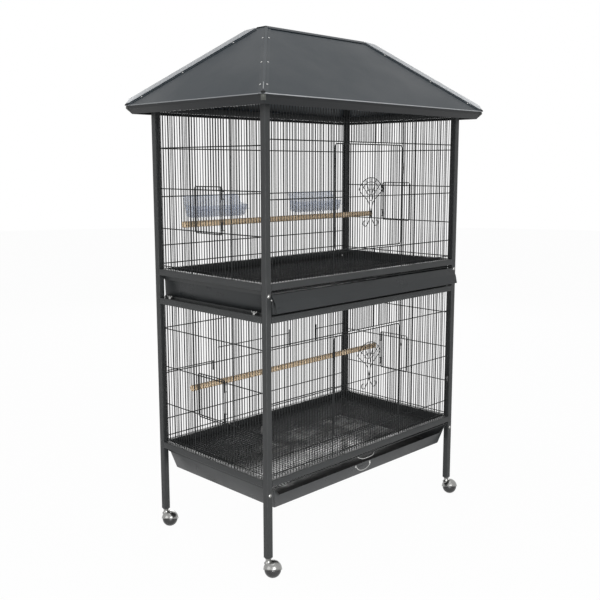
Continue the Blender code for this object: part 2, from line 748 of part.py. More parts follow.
def build_roof_sheets():
    """Build the four folded roof sheets, mitred on the upright planes through the hips."""
    hip_rate = SIDE_RUN / FRONT_RUN
    layouts = {
        "front_roof_sheet": (0, HALF_WIDTH + EAVE_OUT, HALF_DEPTH + EAVE_OUT, FRONT_RUN, hip_rate),
        "back_roof_sheet": (180, HALF_WIDTH + EAVE_OUT, HALF_DEPTH + EAVE_OUT, FRONT_RUN, hip_rate),
        "right_roof_sheet": (90, HALF_DEPTH + EAVE_OUT, HALF_WIDTH + EAVE_OUT, SIDE_RUN, 1 / hip_rate),
        "left_roof_sheet": (-90, HALF_DEPTH + EAVE_OUT, HALF_WIDTH + EAVE_OUT, SIDE_RUN, 1 / hip_rate),
    }
    for name, (turn, half_eave, reach, run, rate) in layouts.items():
        shape = bmesh.new()
        ends = []
        for way in (-1, 1):
            ring = []
            for inward, height in roof_profile(run):
                along = half_eave - inward * rate - GAP
                ring.append(shape.verts.new((way * along, inward - reach, height)))
            ends.append(ring)
            shape.faces.new(ring)
        count = len(ends[0])
        for index in range(count):
            following = (index + 1) % count
            shape.faces.new((ends[0][index], ends[0][following], ends[1][following], ends[1][index]))
        sheet = object_from_bmesh(name, shape, CAGE)
        place(sheet, Matrix.Rotation(math.radians(turn), 4, "Z"))
        finish_piece(sheet, ROOF_PAINT, 0.42, 0.35)


def hip_points(width_way, depth_way):
    """Return the bottom and top of a hip line on the roof's outer face."""
    bottom = Vector((width_way * (HALF_WIDTH + EAVE_OUT), depth_way * (HALF_DEPTH + EAVE_OUT), EAVE_Z))
    top = Vector((width_way * RIDGE_LENGTH / 2, depth_way * RIDGE_FLAT / 2, RIDGE_Z))
    return bottom, top


def build_hip_caps():
    """Build a folded cap over each hip."""
    for depth_name, depth_way in (("front", -1), ("back", 1)):
        for width_name, width_way in (("left", -1), ("right", 1)):
            name = "%s_%s_hip_cap" % (depth_name, width_name)
            bottom, top = hip_points(width_way, depth_way)
            along = (top - bottom).normalized()
            front_normal = Vector((0, depth_way * ROOF_RISE, FRONT_RUN)).normalized()
            side_normal = Vector((width_way * ROOF_RISE, 0, SIDE_RUN)).normalized()
            front_flange = along.cross(front_normal)
            side_flange = along.cross(side_normal)
            front_flange *= -1 if front_flange.x * width_way > 0 else 1
            side_flange *= -1 if side_flange.y * depth_way > 0 else 1
            bisector = front_normal + side_normal
            spread = bisector.dot(front_normal)
            section = [
                bisector * ((GAP + SHEET) / spread),
                front_flange * HIP_CAP_WIDTH + front_normal * (GAP + SHEET),
                front_flange * HIP_CAP_WIDTH + front_normal * GAP,
                bisector * (GAP / spread),
                side_flange * HIP_CAP_WIDTH + side_normal * GAP,
                side_flange * HIP_CAP_WIDTH + side_normal * (GAP + SHEET),
            ]
            shape = bmesh.new()
            start = bottom + along * (HIP_CAP_WIDTH * 0.35)
            end = top - along * (HIP_CAP_WIDTH * 0.20)
            rings = [[shape.verts.new(base + offset) for offset in section] for base in (start, end)]
            for ring in rings:
                shape.faces.new(ring)
            for index in range(len(section)):
                following = (index + 1) % len(section)
                shape.faces.new((rings[0][index], rings[0][following], rings[1][following], rings[1][index]))
            cap = object_from_bmesh(name, shape, CAGE)
            finish_piece(cap, ROOF_PAINT, 0.35, 0.45)


def build_ridge_cap():
    """Build the flat ridge cap whose lips lie on the front and back roof sheets."""
    slope = math.atan2(ROOF_RISE, FRONT_RUN)
    lift = 2 * GAP + SHEET
    half = RIDGE_FLAT / 2
    rise_low = lift / math.cos(slope)
    rise_high = (lift + SHEET) / math.cos(slope)
    out = RIDGE_CAP_LIP * math.cos(slope)
    down = RIDGE_CAP_LIP * math.sin(slope)
    outline = [
        (-half - out, RIDGE_Z + rise_high - down), (-half, RIDGE_Z + rise_high),
        (half, RIDGE_Z + rise_high), (half + out, RIDGE_Z + rise_high - down),
        (half + out, RIDGE_Z + rise_low - down), (half, RIDGE_Z + rise_low),
        (-half, RIDGE_Z + rise_low), (-half - out, RIDGE_Z + rise_low - down),
    ]
    cap = flat_outline("ridge_cap", [outline], RIDGE_LENGTH, CAGE)
    place(cap, Matrix.Rotation(math.pi / 2, 4, "Z"))
    finish_piece(cap, ROOF_PAINT, 0.35, 0.45)


def tray_width(extra=0.0):
    """Return the clear width between the runner webs, less an allowance."""
    return FRAME_WIDTH - 2 * (TUBE + GAP + RUNNER_SHEET + GAP) - extra


def runner_ledges(rail_bottom):
    """Return the top heights of the lower (tray) and upper (grate) ledges of a runner."""
    low = rail_bottom - RUNNER_DROP + RUNNER_SHEET
    return low, low + LEDGE_STEP


def build_runners(tier, rail_bottom):
    """Build the two side runners: a web on the side rail with a tray ledge and a grate ledge."""
    tray_ledge, grate_ledge = runner_ledges(rail_bottom)
    web = RUNNER_SHEET
    reach = RUNNER_SHEET + RUNNER_LEDGE
    top = rail_bottom + TUBE
    for side, way in (("left", 1), ("right", -1)):
        outline = [
            (0, tray_ledge - web), (reach, tray_ledge - web), (reach, tray_ledge), (web, tray_ledge),
            (web, grate_ledge - web), (reach, grate_ledge - web), (reach, grate_ledge), (web, grate_ledge),
            (web, top), (0, top),
        ]
        outline = [(way * x, z) for x, z in outline]
        runner = flat_outline("%s_%s_runner" % (tier, side), [outline], SIDE_SPAN - 2 * GAP, CAGE)
        place(runner, Matrix.Translation((-way * (HALF_WIDTH - TUBE - GAP), 0, 0)))
        finish_piece(runner, FRAME_PAINT)


def build_tray(tier, rail_bottom, depth, taper, lip_cut):
    """Build an open folded tray whose side flanges hang on the runner ledges."""
    ledge, _ = runner_ledges(rail_bottom)
    flange_bottom = ledge + GAP
    half_width = tray_width() / 2 - TRAY_FLANGE
    front = -HALF_DEPTH + TRAY_FRONT_INSET
    back = HALF_DEPTH - TRAY_FRONT_INSET
    top = flange_bottom + TRAY_SHEET
    bottom = top - depth
    name = tier + "_tray"
    shape = bmesh.new()
    verts = add_box(shape, (-half_width, front, bottom), (half_width, back, top))
    for vert in verts:
        if vert.co.z < (top + bottom) / 2:
            vert.co.x -= math.copysign(taper, vert.co.x)
            vert.co.y -= math.copysign(taper, vert.co.y)
    upper = [face for face in shape.faces if face.calc_center_median().z > top - depth * 0.01]
    bmesh.ops.delete(shape, geom=upper, context="FACES_ONLY")
    bmesh.ops.recalc_face_normals(shape, faces=shape.faces)
    tray = object_from_bmesh(name, shape, CAGE)
    wall = tray.modifiers.new("wall", "SOLIDIFY")
    wall.thickness = TRAY_SHEET
    wall.offset = -1.0
    wall.use_even_offset = True
    flanges = boxes_object(name + "_flanges", [
        ((-half_width - TRAY_FLANGE, front + TRAY_SHEET, flange_bottom),
         (-half_width + TRAY_SHEET / 2, back - TRAY_SHEET, top - TRAY_SHEET * 0.02)),
        ((half_width - TRAY_SHEET / 2, front + TRAY_SHEET, flange_bottom),
         (half_width + TRAY_FLANGE, back - TRAY_SHEET, top - TRAY_SHEET * 0.02)),
    ], CUTTERS)
    combine(tray, flanges, "UNION")
    if lip_cut > 0:
        notch = boxes_object(name + "_notch", [
            ((-half_width + 2 * TRAY_SHEET, front - TRAY_SHEET, top - lip_cut),
             (half_width - 2 * TRAY_SHEET, front + 4 * TRAY_SHEET, top + TRAY_SHEET)),
        ], CUTTERS)
        combine(tray, notch, "DIFFERENCE")
    finish_piece(tray, (0.098, 0.100, 0.098), 0.4, 0.3)
    return front, top - lip_cut


def build_grate(tier, rail_bottom, bail_middle, bail_width, bail_drop):
    """Build a floor grate that slides on the upper runner ledges, with a wire bail in front."""
    _, ledge = runner_ledges(rail_bottom)
    base = ledge + GAP
    half = tray_width() / 2
    front = -HALF_DEPTH + GAP
    back = HALF_DEPTH - TUBE - GAP
    name = tier + "_grate"
    outer = rectangle(-half, front, half, back)
    inset = GRATE_BORDER
    holes = bay_holes(-half + inset, half - inset, front + inset, back - inset, GRATE_PITCH)
    grate = flat_outline(name, [outer] + holes, GRATE_THICKNESS, CAGE, Matrix.Identity(4))
    grate.data.transform(Matrix.Translation((0, 0, base + GRATE_THICKNESS / 2)))
    reach = front - BAIL_REACH
    half_bail = bail_width / 2
    middle = base + GRATE_THICKNESS / 2
    tip = reach - BAIL_REACH / 2
    bail = [
        (-half_bail, front + inset / 2, middle), (-half_bail, reach, middle - bail_drop * 0.2),
        (-half_bail * 0.7, tip, middle - bail_drop * 0.75), (-half_bail * 0.3, tip, middle - bail_drop),
        (half_bail * 0.3, tip, middle - bail_drop), (half_bail * 0.7, tip, middle - bail_drop * 0.75),
        (half_bail, reach, middle - bail_drop * 0.2), (half_bail, front + inset / 2, middle),
    ]
    bail = [(bail_middle + x, y, z) for x, y, z in bail]
    handle = wire_tube(name + "_bail", bail, BAIL_RADIUS, CUTTERS, fineness=0)
    combine(grate, handle, "UNION", "MANIFOLD")
    finish_piece(grate, FRAME_PAINT)


def build_tray_handle(front, lip_top):
    """Build the drooping wire handle that hinges on the lip of the lower tray."""
    below_top = LOWER_TRAY_LIP_CUT + HANDLE_BELOW_LIP
    face = front + LOWER_TRAY_TAPER * below_top / LOWER_TRAY_DEPTH
    pivot = (HANDLE_MIDDLE, face - HANDLE_STAND_OFF, lip_top - HANDLE_BELOW_LIP)
    half = HANDLE_WIDTH / 2
    droop = HANDLE_DROP
    lean = LOWER_TRAY_TAPER / LOWER_TRAY_DEPTH
    seat = HANDLE_STAND_OFF - GAP - HANDLE_RADIUS * lean
    route = [
        (-half, seat, 0), (-half, 0, 0), (-half * 0.86, 0, -droop * 0.55),
        (-half * 0.5, 0, -droop * 0.93), (0, 0, -droop), (half * 0.5, 0, -droop * 0.93),
        (half * 0.86, 0, -droop * 0.55), (half, 0, 0), (half, seat, 0),
    ]
    handle = wire_tube("lower_tray_handle", route, HANDLE_RADIUS, CAGE, fineness=1)
    place(handle, Matrix.Translation(pivot))
    finish_piece(handle, (0.45, 0.45, 0.45), 0.3, 0.9, smooth=True)


def build_seed_guard(tray_front, tray_top):
    """Build the folded seed guard: a strip on the tray's front face and two slopes that lean outward."""
    sheet = GUARD_SHEET
    top = tray_top + GUARD_ABOVE_TRAY
    back = tray_front - GAP
    lip = -HALF_DEPTH
    fold_y, fold_z = lip - GUARD_UPPER_OUT, top - GUARD_UPPER_DROP
    foot_y, foot_z = fold_y - GUARD_LOWER_OUT, fold_z - GUARD_LOWER_DROP
    outline = [
        (back, top - GUARD_BACK_HEIGHT), (back, top), (lip, top), (fold_y, fold_z), (foot_y, foot_z),
        (foot_y + sheet, foot_z), (fold_y + sheet, fold_z - sheet * 0.35), (lip + sheet * 0.5, top - sheet),
        (back - sheet, top - sheet), (back - sheet, top - GUARD_BACK_HEIGHT),
    ]
    guard = flat_outline("seed_guard", [[(-y, z) for y, z in outline]], FRONT_SPAN - 4 * GAP, CAGE)
    guard.data.transform(Matrix.Rotation(-math.pi / 2, 4, "Z"))
    finish_piece(guard, (0.150, 0.160, 0.165), 0.4, 0.3)


def turned_profile(name, profile, steps, group):
    """Spin a profile of (radius, height) points about Z with a Screw modifier, as a welded mesh."""
    shape = bmesh.new()
    verts = [shape.verts.new((radius, 0, height)) for radius, height in profile]
    for first, second in zip(verts, verts[1:]):
        shape.edges.new((first, second))
    mesh = bpy.data.meshes.new(name)
    shape.to_mesh(mesh)
    shape.free()
    item = bpy.data.objects.new(name, mesh)
    group.objects.link(item)
    spin = item.modifiers.new("spin", "SCREW")
    spin.steps = steps
    spin.render_steps = steps
    spin.use_merge_vertices = True
    spin.merge_threshold = 0.00001
    return mesh_from_curve(item)


def build_casters():
    """Build four ball casters: a swivelling hood with its stem and axle, and the ball on the axle."""
    radius = BALL_DIAMETER / 2
    inner = radius + HOOD_CLEARANCE
    outer = inner + HOOD_SHEET
    stem_radius = TUBE / 2 - TUBE_WALL - GAP
    turn = math.radians(CASTER_TURN)
    for depth_name, depth_way in (("front", -1), ("back", 1)):
        for width_name, width_way in (("left", -1), ("right", 1)):
            corner = "%s_%s" % (depth_name, width_name)
            leg = Vector((width_way * (HALF_WIDTH - TUBE / 2), depth_way * (HALF_DEPTH - TUBE / 2), 0))
            frame = Matrix.Translation(leg) @ Matrix.Rotation(turn, 4, "Z")
            centre = (CASTER_TRAIL, 0, radius)

            profile = []
            rings = 4
            for index in range(rings + 1):
                angle = math.radians(HOOD_WRAP * index / rings)
                profile.append((outer * math.sin(angle), outer * math.cos(angle)))
            for index in range(rings, -1, -1):
                angle = math.radians(HOOD_WRAP * index / rings)
                profile.append((inner * math.sin(angle), inner * math.cos(angle)))
            hood = turned_profile(corner + "_caster_hood", profile, 12, CAGE)
            hood.data.transform(Matrix.Translation(centre))
            shape = bmesh.new()
            seat = radius + math.sqrt(outer ** 2 - CASTER_TRAIL ** 2) - HOOD_SHEET * 2
            add_cylinder(shape, (0, 0, seat), (0, 0, LEG_BOTTOM - GAP), NECK_RADIUS, sides=10)
            neck = object_from_bmesh(corner + "_neck", shape, CUTTERS)
            shape = bmesh.new()
            stem_top = LEG_BOTTOM + STEM_LENGTH
            add_cylinder(shape, (0, 0, seat + HOOD_SHEET), (0, 0, stem_top), stem_radius, sides=8)
            stem = object_from_bmesh(corner + "_stem", shape, CUTTERS)
            shape = bmesh.new()
            reach = (inner + outer) / 2
            axle_ends = [(centre[0], way * reach, radius) for way in (-1, 1)]
            add_cylinder(shape, *axle_ends, AXLE_RADIUS, sides=6)
            axle = object_from_bmesh(corner + "_axle", shape, CUTTERS)
            clear = bmesh.new()
            room_radius = inner - HOOD_CLEARANCE * 0.4
            bmesh.ops.create_uvsphere(clear, u_segments=12, v_segments=8, radius=room_radius)
            bmesh.ops.translate(clear, vec=centre, verts=clear.verts)
            room = object_from_bmesh(corner + "_room", clear, CUTTERS)
            combine(hood, neck, "UNION")
            combine(hood, stem, "UNION")
            combine(hood, room, "DIFFERENCE")
            combine(hood, axle, "UNION")
            for tool in (neck, stem, axle, room, hood):
                place(tool, frame)
            finish_piece(hood, (0.75, 0.75, 0.76), 0.12, 1.0, smooth=True)

            shape = bmesh.new()
            bmesh.ops.create_uvsphere(shape, u_segments=14, v_segments=8, radius=radius)
            ball = object_from_bmesh(corner + "_caster_ball", shape, CAGE)
            shape = bmesh.new()
            add_cylinder(shape, (0, -outer, 0), (0, outer, 0), AXLE_RADIUS + GAP, sides=8)
            bore = object_from_bmesh(corner + "_ball_bore", shape, CUTTERS)
            ball_frame = frame @ Matrix.Translation(centre)
            place(bore, ball_frame)
            combine(ball, bore, "DIFFERENCE")
            place(ball, ball_frame)
            finish_piece(ball, (0.02, 0.02, 0.02), 0.3, 0.0, smooth=True)


def build_wing_nuts():
    """Build the wing nuts that clamp the two tiers together on the side rails."""
    rail_top = LOWER_WALL_TOP + TUBE
    for side, width_way in (("left", -1), ("right", 1)):
        for end, depth_way in (("front", -1), ("back", 1)):
            name = "%s_%s_wing_nut" % (side, end)
            across = width_way * (HALF_WIDTH - TUBE / 2)
            place_at = Vector((across, depth_way * (HALF_DEPTH - TUBE - WING_NUT_INSET), rail_top + GAP))
            shape = bmesh.new()
            add_cylinder(
                shape, (0, 0, 0), (0, 0, WING_HUB_HEIGHT), WING_HUB_RADIUS, sides=10,
                end_radius=WING_HUB_RADIUS * 0.75,
            )
            nut = object_from_bmesh(name, shape, CAGE)
            half = WING_SPAN / 2
            base = WING_HUB_HEIGHT * 0.3
            wings = flat_outline(name + "_wings", [[
                (-half * 0.3, base), (half * 0.3, base), (half, WING_HEIGHT * 0.75),
                (half * 0.9, WING_HEIGHT), (half * 0.55, WING_HEIGHT * 0.85),
                (half * 0.2, WING_HUB_HEIGHT * 0.8),
                (-half * 0.2, WING_HUB_HEIGHT * 0.8), (-half * 0.55, WING_HEIGHT * 0.85),
                (-half * 0.9, WING_HEIGHT), (-half, WING_HEIGHT * 0.75),
            ]], WING_SHEET, CUTTERS)
            frame = Matrix.Translation(place_at) @ Matrix.Rotation(math.radians(90), 4, "Z")
            place(wings, frame)
            combine(nut, wings, "UNION")
            place(nut, frame)
            finish_piece(nut, (0.35, 0.35, 0.36), 0.3, 0.9)


def build_perch(tier, y, level):
    """Build one round wooden perch between the bars of the side walls."""
    reach = HALF_WIDTH - WIRE_BACK_Y - GAP
    shape = bmesh.new()
    add_cylinder(shape, (-reach, 0, 0), (reach, 0, 0), PERCH_DIAMETER / 2, sides=16)
    perch = object_from_bmesh(tier + "_perch", shape, CAGE)
    place(perch, Matrix.Translation((0, y - HALF_DEPTH, level)))
    finish_piece(perch, (0.36, 0.25, 0.13), 0.7, 0.0, smooth=True)


def build_feeder(name, left):
    """Build one open seed trough that hangs against the cross wires of the back wall."""
    back = HALF_DEPTH - CROSS_BACK_Y - GAP
    front = back - FEEDER_DEPTH
    bottom = UPPER_WALL_Z + FEEDER_LEVEL
    top = bottom + FEEDER_HEIGHT
    x0 = left - HALF_WIDTH
    x1 = x0 + FEEDER_LENGTH
    shape = bmesh.new()
    verts = add_box(shape, (x0, front, bottom), (x1, back, top))
    middle = (x0 + x1) / 2
    for vert in verts:
        if vert.co.z < (top + bottom) / 2:
            vert.co.x -= math.copysign(FEEDER_TAPER, vert.co.x - middle)
            if vert.co.y < (front + back) / 2:
                vert.co.y += FEEDER_TAPER
    upper = [face for face in shape.faces if face.calc_center_median().z > top - FEEDER_HEIGHT * 0.01]
    bmesh.ops.delete(shape, geom=upper, context="FACES_ONLY")
    feeder = object_from_bmesh(name, shape, CAGE)
    wall = feeder.modifiers.new("wall", "SOLIDIFY")
    wall.thickness = FEEDER_SHEET
    wall.offset = -1.0
    wall.use_even_offset = True
    finish_piece(feeder, (0.30, 0.34, 0.46), 0.25, 0.0, alpha=0.6)


def main():
    """Build every piece of the cage."""
    build_posts()
    build_front_tier("upper", UPPER_WALL_Z, UPPER_WALL_TOP, UPPER_SILL, UPPER_FAN_TOP_LEVEL)
    build_front_tier("lower", LOWER_WALL_Z, LOWER_WALL_TOP, LOWER_SILL, LOWER_FAN_TOP_LEVEL)
    for side in ("left", "right"):
        build_side_tier("upper", side, UPPER_WALL_Z, UPPER_WALL_TOP)
        build_side_tier("lower", side, LOWER_WALL_Z, LOWER_WALL_TOP)
    build_back_tier("upper", UPPER_WALL_Z, UPPER_WALL_TOP)
    build_back_tier("lower", LOWER_WALL_Z, LOWER_WALL_TOP)
    build_roof_sheets()
    build_hip_caps()
    build_ridge_cap()
    build_runners("upper", UPPER_RAIL_BOTTOM)
    build_runners("lower", FLOOR_RAIL_BOTTOM)
    front, upper_tray_top = build_tray("upper", UPPER_RAIL_BOTTOM, UPPER_TRAY_DEPTH, UPPER_TRAY_TAPER, 0.0)
    build_seed_guard(front, upper_tray_top)
    front, lip_top = build_tray(
        "lower", FLOOR_RAIL_BOTTOM, LOWER_TRAY_DEPTH, LOWER_TRAY_TAPER, LOWER_TRAY_LIP_CUT,
    )
    build_grate("upper", UPPER_RAIL_BOTTOM, UPPER_BAIL_MIDDLE, UPPER_BAIL_WIDTH, UPPER_BAIL_DROP)
    build_grate("lower", FLOOR_RAIL_BOTTOM, LOWER_BAIL_MIDDLE, LOWER_BAIL_WIDTH, LOWER_BAIL_DROP)
    build_tray_handle(front, lip_top)
    build_casters()
    build_wing_nuts()
    build_perch("upper", UPPER_PERCH_Y, UPPER_WALL_Z + UPPER_PERCH_LEVEL)
    build_perch("lower", LOWER_PERCH_Y, LOWER_WALL_Z + LOWER_PERCH_LEVEL)
    build_feeder("left_feeder", FEEDER_LEFTS[0])
    build_feeder("right_feeder", FEEDER_LEFTS[1])


main()
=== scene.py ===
"""Looks for the two-tier bird cage: wires, tubes, folded sheets, casters, their finishes and the stage.

Laid out as an add-on and run as a script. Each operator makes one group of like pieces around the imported
model, in its frame: metres, +Z up, the front doors face -Y, the origin is on the floor under the middle.
"""

import math

import bpy
import numpy as np
from bpy.props import FloatProperty, FloatVectorProperty, IntProperty, PointerProperty
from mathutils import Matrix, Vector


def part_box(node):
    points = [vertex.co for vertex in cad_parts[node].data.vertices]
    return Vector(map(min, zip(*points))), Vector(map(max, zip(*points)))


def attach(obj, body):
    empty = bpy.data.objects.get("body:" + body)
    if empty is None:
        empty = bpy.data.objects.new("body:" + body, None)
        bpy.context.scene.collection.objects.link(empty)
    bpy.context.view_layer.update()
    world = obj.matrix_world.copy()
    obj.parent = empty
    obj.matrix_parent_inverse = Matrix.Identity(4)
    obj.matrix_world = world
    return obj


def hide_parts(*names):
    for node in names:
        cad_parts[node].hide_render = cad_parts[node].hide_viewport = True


bl_info = {
    "name": "Bird cage looks",
    "version": (1, 0, 0),
    "blender": (4, 5, 0),
    "location": "3D View > Sidebar > Cage",
    "description": "Makes the visible pieces, finishes and stage of a two-tier bird cage",
    "category": "Add Mesh",
}

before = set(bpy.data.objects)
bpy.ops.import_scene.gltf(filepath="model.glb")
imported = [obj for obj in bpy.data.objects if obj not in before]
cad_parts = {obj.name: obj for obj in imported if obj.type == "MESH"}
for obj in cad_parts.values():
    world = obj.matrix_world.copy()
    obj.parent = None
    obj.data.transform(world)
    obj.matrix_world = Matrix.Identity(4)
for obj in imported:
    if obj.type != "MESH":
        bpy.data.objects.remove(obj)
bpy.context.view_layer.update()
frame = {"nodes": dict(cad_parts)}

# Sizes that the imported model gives
TUBE = 0.020
FASCIA_DROP = 0.010
RETURN_DROP = 0.017
FRONT_LOW, FRONT_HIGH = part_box("upper_front_wall")
SIDE_LOW, SIDE_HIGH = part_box("upper_left_wall")
CAGE_FRONT = FRONT_LOW.y
CAGE_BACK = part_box("upper_back_wall")[1].y
CAGE_LEFT = SIDE_LOW.x
CAGE_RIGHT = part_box("upper_right_wall")[1].x
FRONT_LENGTH = FRONT_HIGH.x - FRONT_LOW.x
SIDE_LENGTH = SIDE_HIGH.y - SIDE_LOW.y
EAVE_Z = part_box("front_roof_sheet")[0].z + (FASCIA_DROP + RETURN_DROP)
EAVE_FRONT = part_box("front_roof_sheet")[0].y
EAVE_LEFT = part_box("left_roof_sheet")[0].x
LEG_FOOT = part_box("front_left_post")[0].z

TIERS = ("upper", "lower")
# Corners of the cage: name, way along x, way along y
CORNERS = tuple(
    ("%s_%s" % (depth, width), across, way)
    for depth, way in (("front", -1), ("back", 1)) for width, across in (("left", -1), ("right", 1))
)

# Wall frames: origin at the left end seen from outside, the run along the wall and the way inward
SIDES = {
    "front": ((FRONT_LOW.x, CAGE_FRONT, 0), (1, 0, 0), (0, 1, 0)),
    "left": ((CAGE_LEFT, SIDE_HIGH.y, 0), (0, -1, 0), (1, 0, 0)),
    "right": ((CAGE_RIGHT, SIDE_LOW.y, 0), (0, 1, 0), (-1, 0, 0)),
    "back": ((FRONT_HIGH.x, CAGE_BACK, 0), (-1, 0, 0), (0, -1, 0)),
}
BAR_Y = 0.010
CROSS_Y = 0.0129
ROD_EDGE = 0.0028
BACK_CROSS = 0.0036
WIRE_SUNK = 0.003
BEYOND_DOOR = 0.003
HINGE_BARREL = 0.0044
HINGE_ARM = 0.0024
KNUCKLE_HALF = 0.008
LUG_START = 0.0086
LUG_HEIGHT = 0.005

# Front doors, in the front wall's frame
DOOR_RODS = (0.267, 0.599)
DOOR_HEIGHT = 0.327
DOOR_SILLS = {"upper": 0.071, "lower": 0.062}
DOOR_INSET = 0.004
DOOR_PLAY = 0.0015
DOOR_BORDER = 0.0036
HINGE_Y = 0.007
MIDDLE_WIRE_Y = 0.0071
FOOT_WIRE_LEVEL = 0.011
FAN_Y = 0.00445
FAN_TOPS = {"upper": 0.2225, "lower": 0.285}
FAN_RADIUS = 0.0624
FAN_HUB = 0.009
LATCH_LEVEL = 0.250
LATCH_Y = 0.0072

# Side doors, in the left wall's frame
SIDE_RODS = (0.161, 0.352)
SIDE_LEVELS = (0.010, 0.131, 0.257, 0.384)
SIDE_DOOR = (0.184, 0.318)
SIDE_DOOR_POSTS = (SIDE_DOOR[0] + 0.003, SIDE_DOOR[1] + 0.0033)
SIDE_DOOR_BORDER = 0.0030
HINGE_BAR = 0.0036
HINGE_BAR_INSET = 0.0085
SIDE_DOOR_Y = 0.0068
SIDE_HINGE_Y = 0.0038

# Back walls, in the back wall's frame; the gate wires as (from x, to x, level) and (x, bottom, top)
BACK_RODS = (0.165, 0.300, 0.510)
BACK_LEVELS = (0.016, 0.075, 0.231, 0.383)
GATE_LEVELS = ((0.309, 0.655, 0.581), (0.0, 0.163, 0.578), (0.679, 0.870, 0.536))
GATE_STANDS = ((0.309, 0.533, 0.595), (0.163, 0.533, 0.595), (0.679, 0.505, 0.538))

# Trays: how far the stop hangs down, the guides stand up, both lap their rails and the rims reach out
STOP_LIP = 0.0150
GUIDE_LIP = 0.0075
LIP_LAP = 0.002
RIM_FLANGE = 0.0085

# How far the post bolts sit below the wall frames
BOLT_DROPS = {"upper": 0.0145, "lower": 0.023}

# Roof
RIDGE_LENGTH = 0.456
RIDGE_FLAT = 0.044
RIDGE_LIP = 0.014
RETURN_IN = 0.013
ROOF_RISE = 0.233
ROOF_SHEET = 0.001
SEAM = 0.0003
HIP_FLANGE = 0.0145
HIP_SCREWS = (0.122, 0.437, 0.822)
HIP_SCREW_REACH = 0.0098
RIB_RISE = 0.0030
RIB_REACHES = (0.0062, 0.0050)
# Seam fins: thickness and height, then (share of the hip, share of the height) along a fin
SEAM_FIN = (0.0012, 0.0125)
FIN_COURSE = ((0.0, 0.5), (0.03, 1.0), (0.93, 1.0), (1.0, 0.3))
FIN_STUB = ((0.03, 0.45), (0.11, 0.45))

# Painted sheen on the lower tray's floor, pale patches in place of reflections: x, y, reach
SHEEN_PATCHES = (
    (0.36, 0.22, 0.17), (0.34, 0.10, 0.14), (0.12, 0.20, 0.12), (0.20, 0.02, 0.09), (0.40, 0.04, 0.09),
    (-0.05, 0.16, 0.07), (-0.12, -0.02, 0.07), (-0.30, 0.08, 0.07), (-0.26, -0.10, 0.06), (0.02, 0.04, 0.06),
)

# Casters: ball, inside and outside of the hood, offset of the ball from its post; how far the shell wraps
# down from its pole, and how far the pole leans back along the axle, in degrees
BALL_RADIUS = 0.025
HOOD_INSIDE = 0.0265
HOOD_OUTSIDE = 0.0280
CASTER_TRAIL = 0.013
HOOD_WRAP = 88
HOOD_LEAN = 22

# The photograph's camera
CAMERA_PLACE = (-1.9973, -1.9456, 1.2038)
CAMERA_TURN = (81.521, 0.0, -45.407)
CAMERA_LENS = 49.385
CAMERA_SHIFT = (-0.01343, -0.01755)

# Lamps: name, place, what they look at, size, power
LAMPS = (
    ("key_lamp", (-1.6, -3.6, 2.4), (0, 0, 0.9), 2.4, 58.0),
    ("side_lamp", (-3.8, 0.4, 1.8), (0, 0, 0.9), 2.4, 24.0),
    ("top_lamp", (0.0, 0.0, 4.8), (0, 0, 0.8), 3.0, 30.0),
    ("back_lamp", (3.0, 3.1, 1.7), (0, 0, 0.6), 2.2, 55.0),
    ("low_lamp", (-1.4, -1.6, 0.30), (-0.3, -0.1, 0.15), 0.9, 33.0),
)

# Kinds of node sockets
COLOUR, VALUE = "NodeSocketColor", "NodeSocketFloat"


def size_of(name, description, default):
    """A property that holds a length."""
    return FloatProperty(name=name, description=description, default=default, unit="LENGTH")


def colour_of(name, description, default):
    """A property that holds a linear colour."""
    return FloatVectorProperty(name=name, description=description, subtype="COLOR", default=default)


class CageSizes(bpy.types.PropertyGroup):
    """Sizes of the visible wires, folds and fasteners."""

    bar: size_of("Bar", "Diameter of the fine bars", 0.0023)
    rod: size_of("Rod", "Diameter of the upright rods", 0.0042)
    cross: size_of("Cross wire", "Diameter of the cross wires", 0.0033)
    front_pitch: size_of("Front pitch", "Spacing of the bars at the front and back", 0.0116)
    side_pitch: size_of("Side pitch", "Spacing of the bars at the sides", 0.0126)
    tube_corner: size_of("Tube corner", "Rounding of the square tubes", 0.0018)
    fold: size_of("Fold", "Reach of a sheet's rounded fold", 0.0035)
    grate_pitch: size_of("Grate pitch", "Spacing of the floor grate's bars", 0.0125)
    screw: size_of("Screw", "Radius of the roof screws", 0.0030)
    wire_sides: IntProperty(name="Wire sides", description="Flats around a wire", default=8, min=5)


class CageColours(bpy.types.PropertyGroup):
    """Colours of the finishes, as linear values."""

    frame: colour_of("Frame", "Powder coat of tubes and wires", (0.022, 0.0235, 0.024))
    roof: colour_of("Roof", "Paint of the roof sheets", (0.012, 0.020, 0.027))
    tray: colour_of("Tray", "Paint of the trays and the seed guard", (0.024, 0.026, 0.027))
    wood: colour_of("Perch wood", "Pale side of the wood grain", (0.86, 0.66, 0.44))
    plastic: colour_of("Feeder plastic", "Tint of the feeders", (0.55, 0.64, 0.82))
    ball: colour_of("Caster ball", "Rubber of the balls", (0.018, 0.018, 0.018))


def unit(vectors):
    """Vectors divided by their lengths."""
    return vectors / np.linalg.norm(vectors, axis=-1, keepdims=True)


def in_wall(side, points):
    """World place = wall origin + x * run + y * inward + z * up."""
    origin, run, inward = (np.array(part, float) for part in SIDES[side])
    points = np.asarray(points, float)
    x, y, z = points[..., 0:1], points[..., 1:2], points[..., 2:3]
    return origin + x * run + y * inward + z * np.array((0, 0, 1.0))


def grid_faces(rows, columns, wrap_rows, wrap_columns):
    """Quads of a grid numbered row by row; a wrapped direction joins its last line to its first."""
    i, j = np.meshgrid(
        np.arange(rows if wrap_rows else rows - 1), np.arange(columns if wrap_columns else columns - 1),
        indexing="ij",
    )
    i, j = i.ravel(), j.ravel()
    below, right = (i + 1) % rows, (j + 1) % columns
    i, below = i * columns, below * columns
    return np.stack([i + j, i + right, below + right, below + j], axis=1)


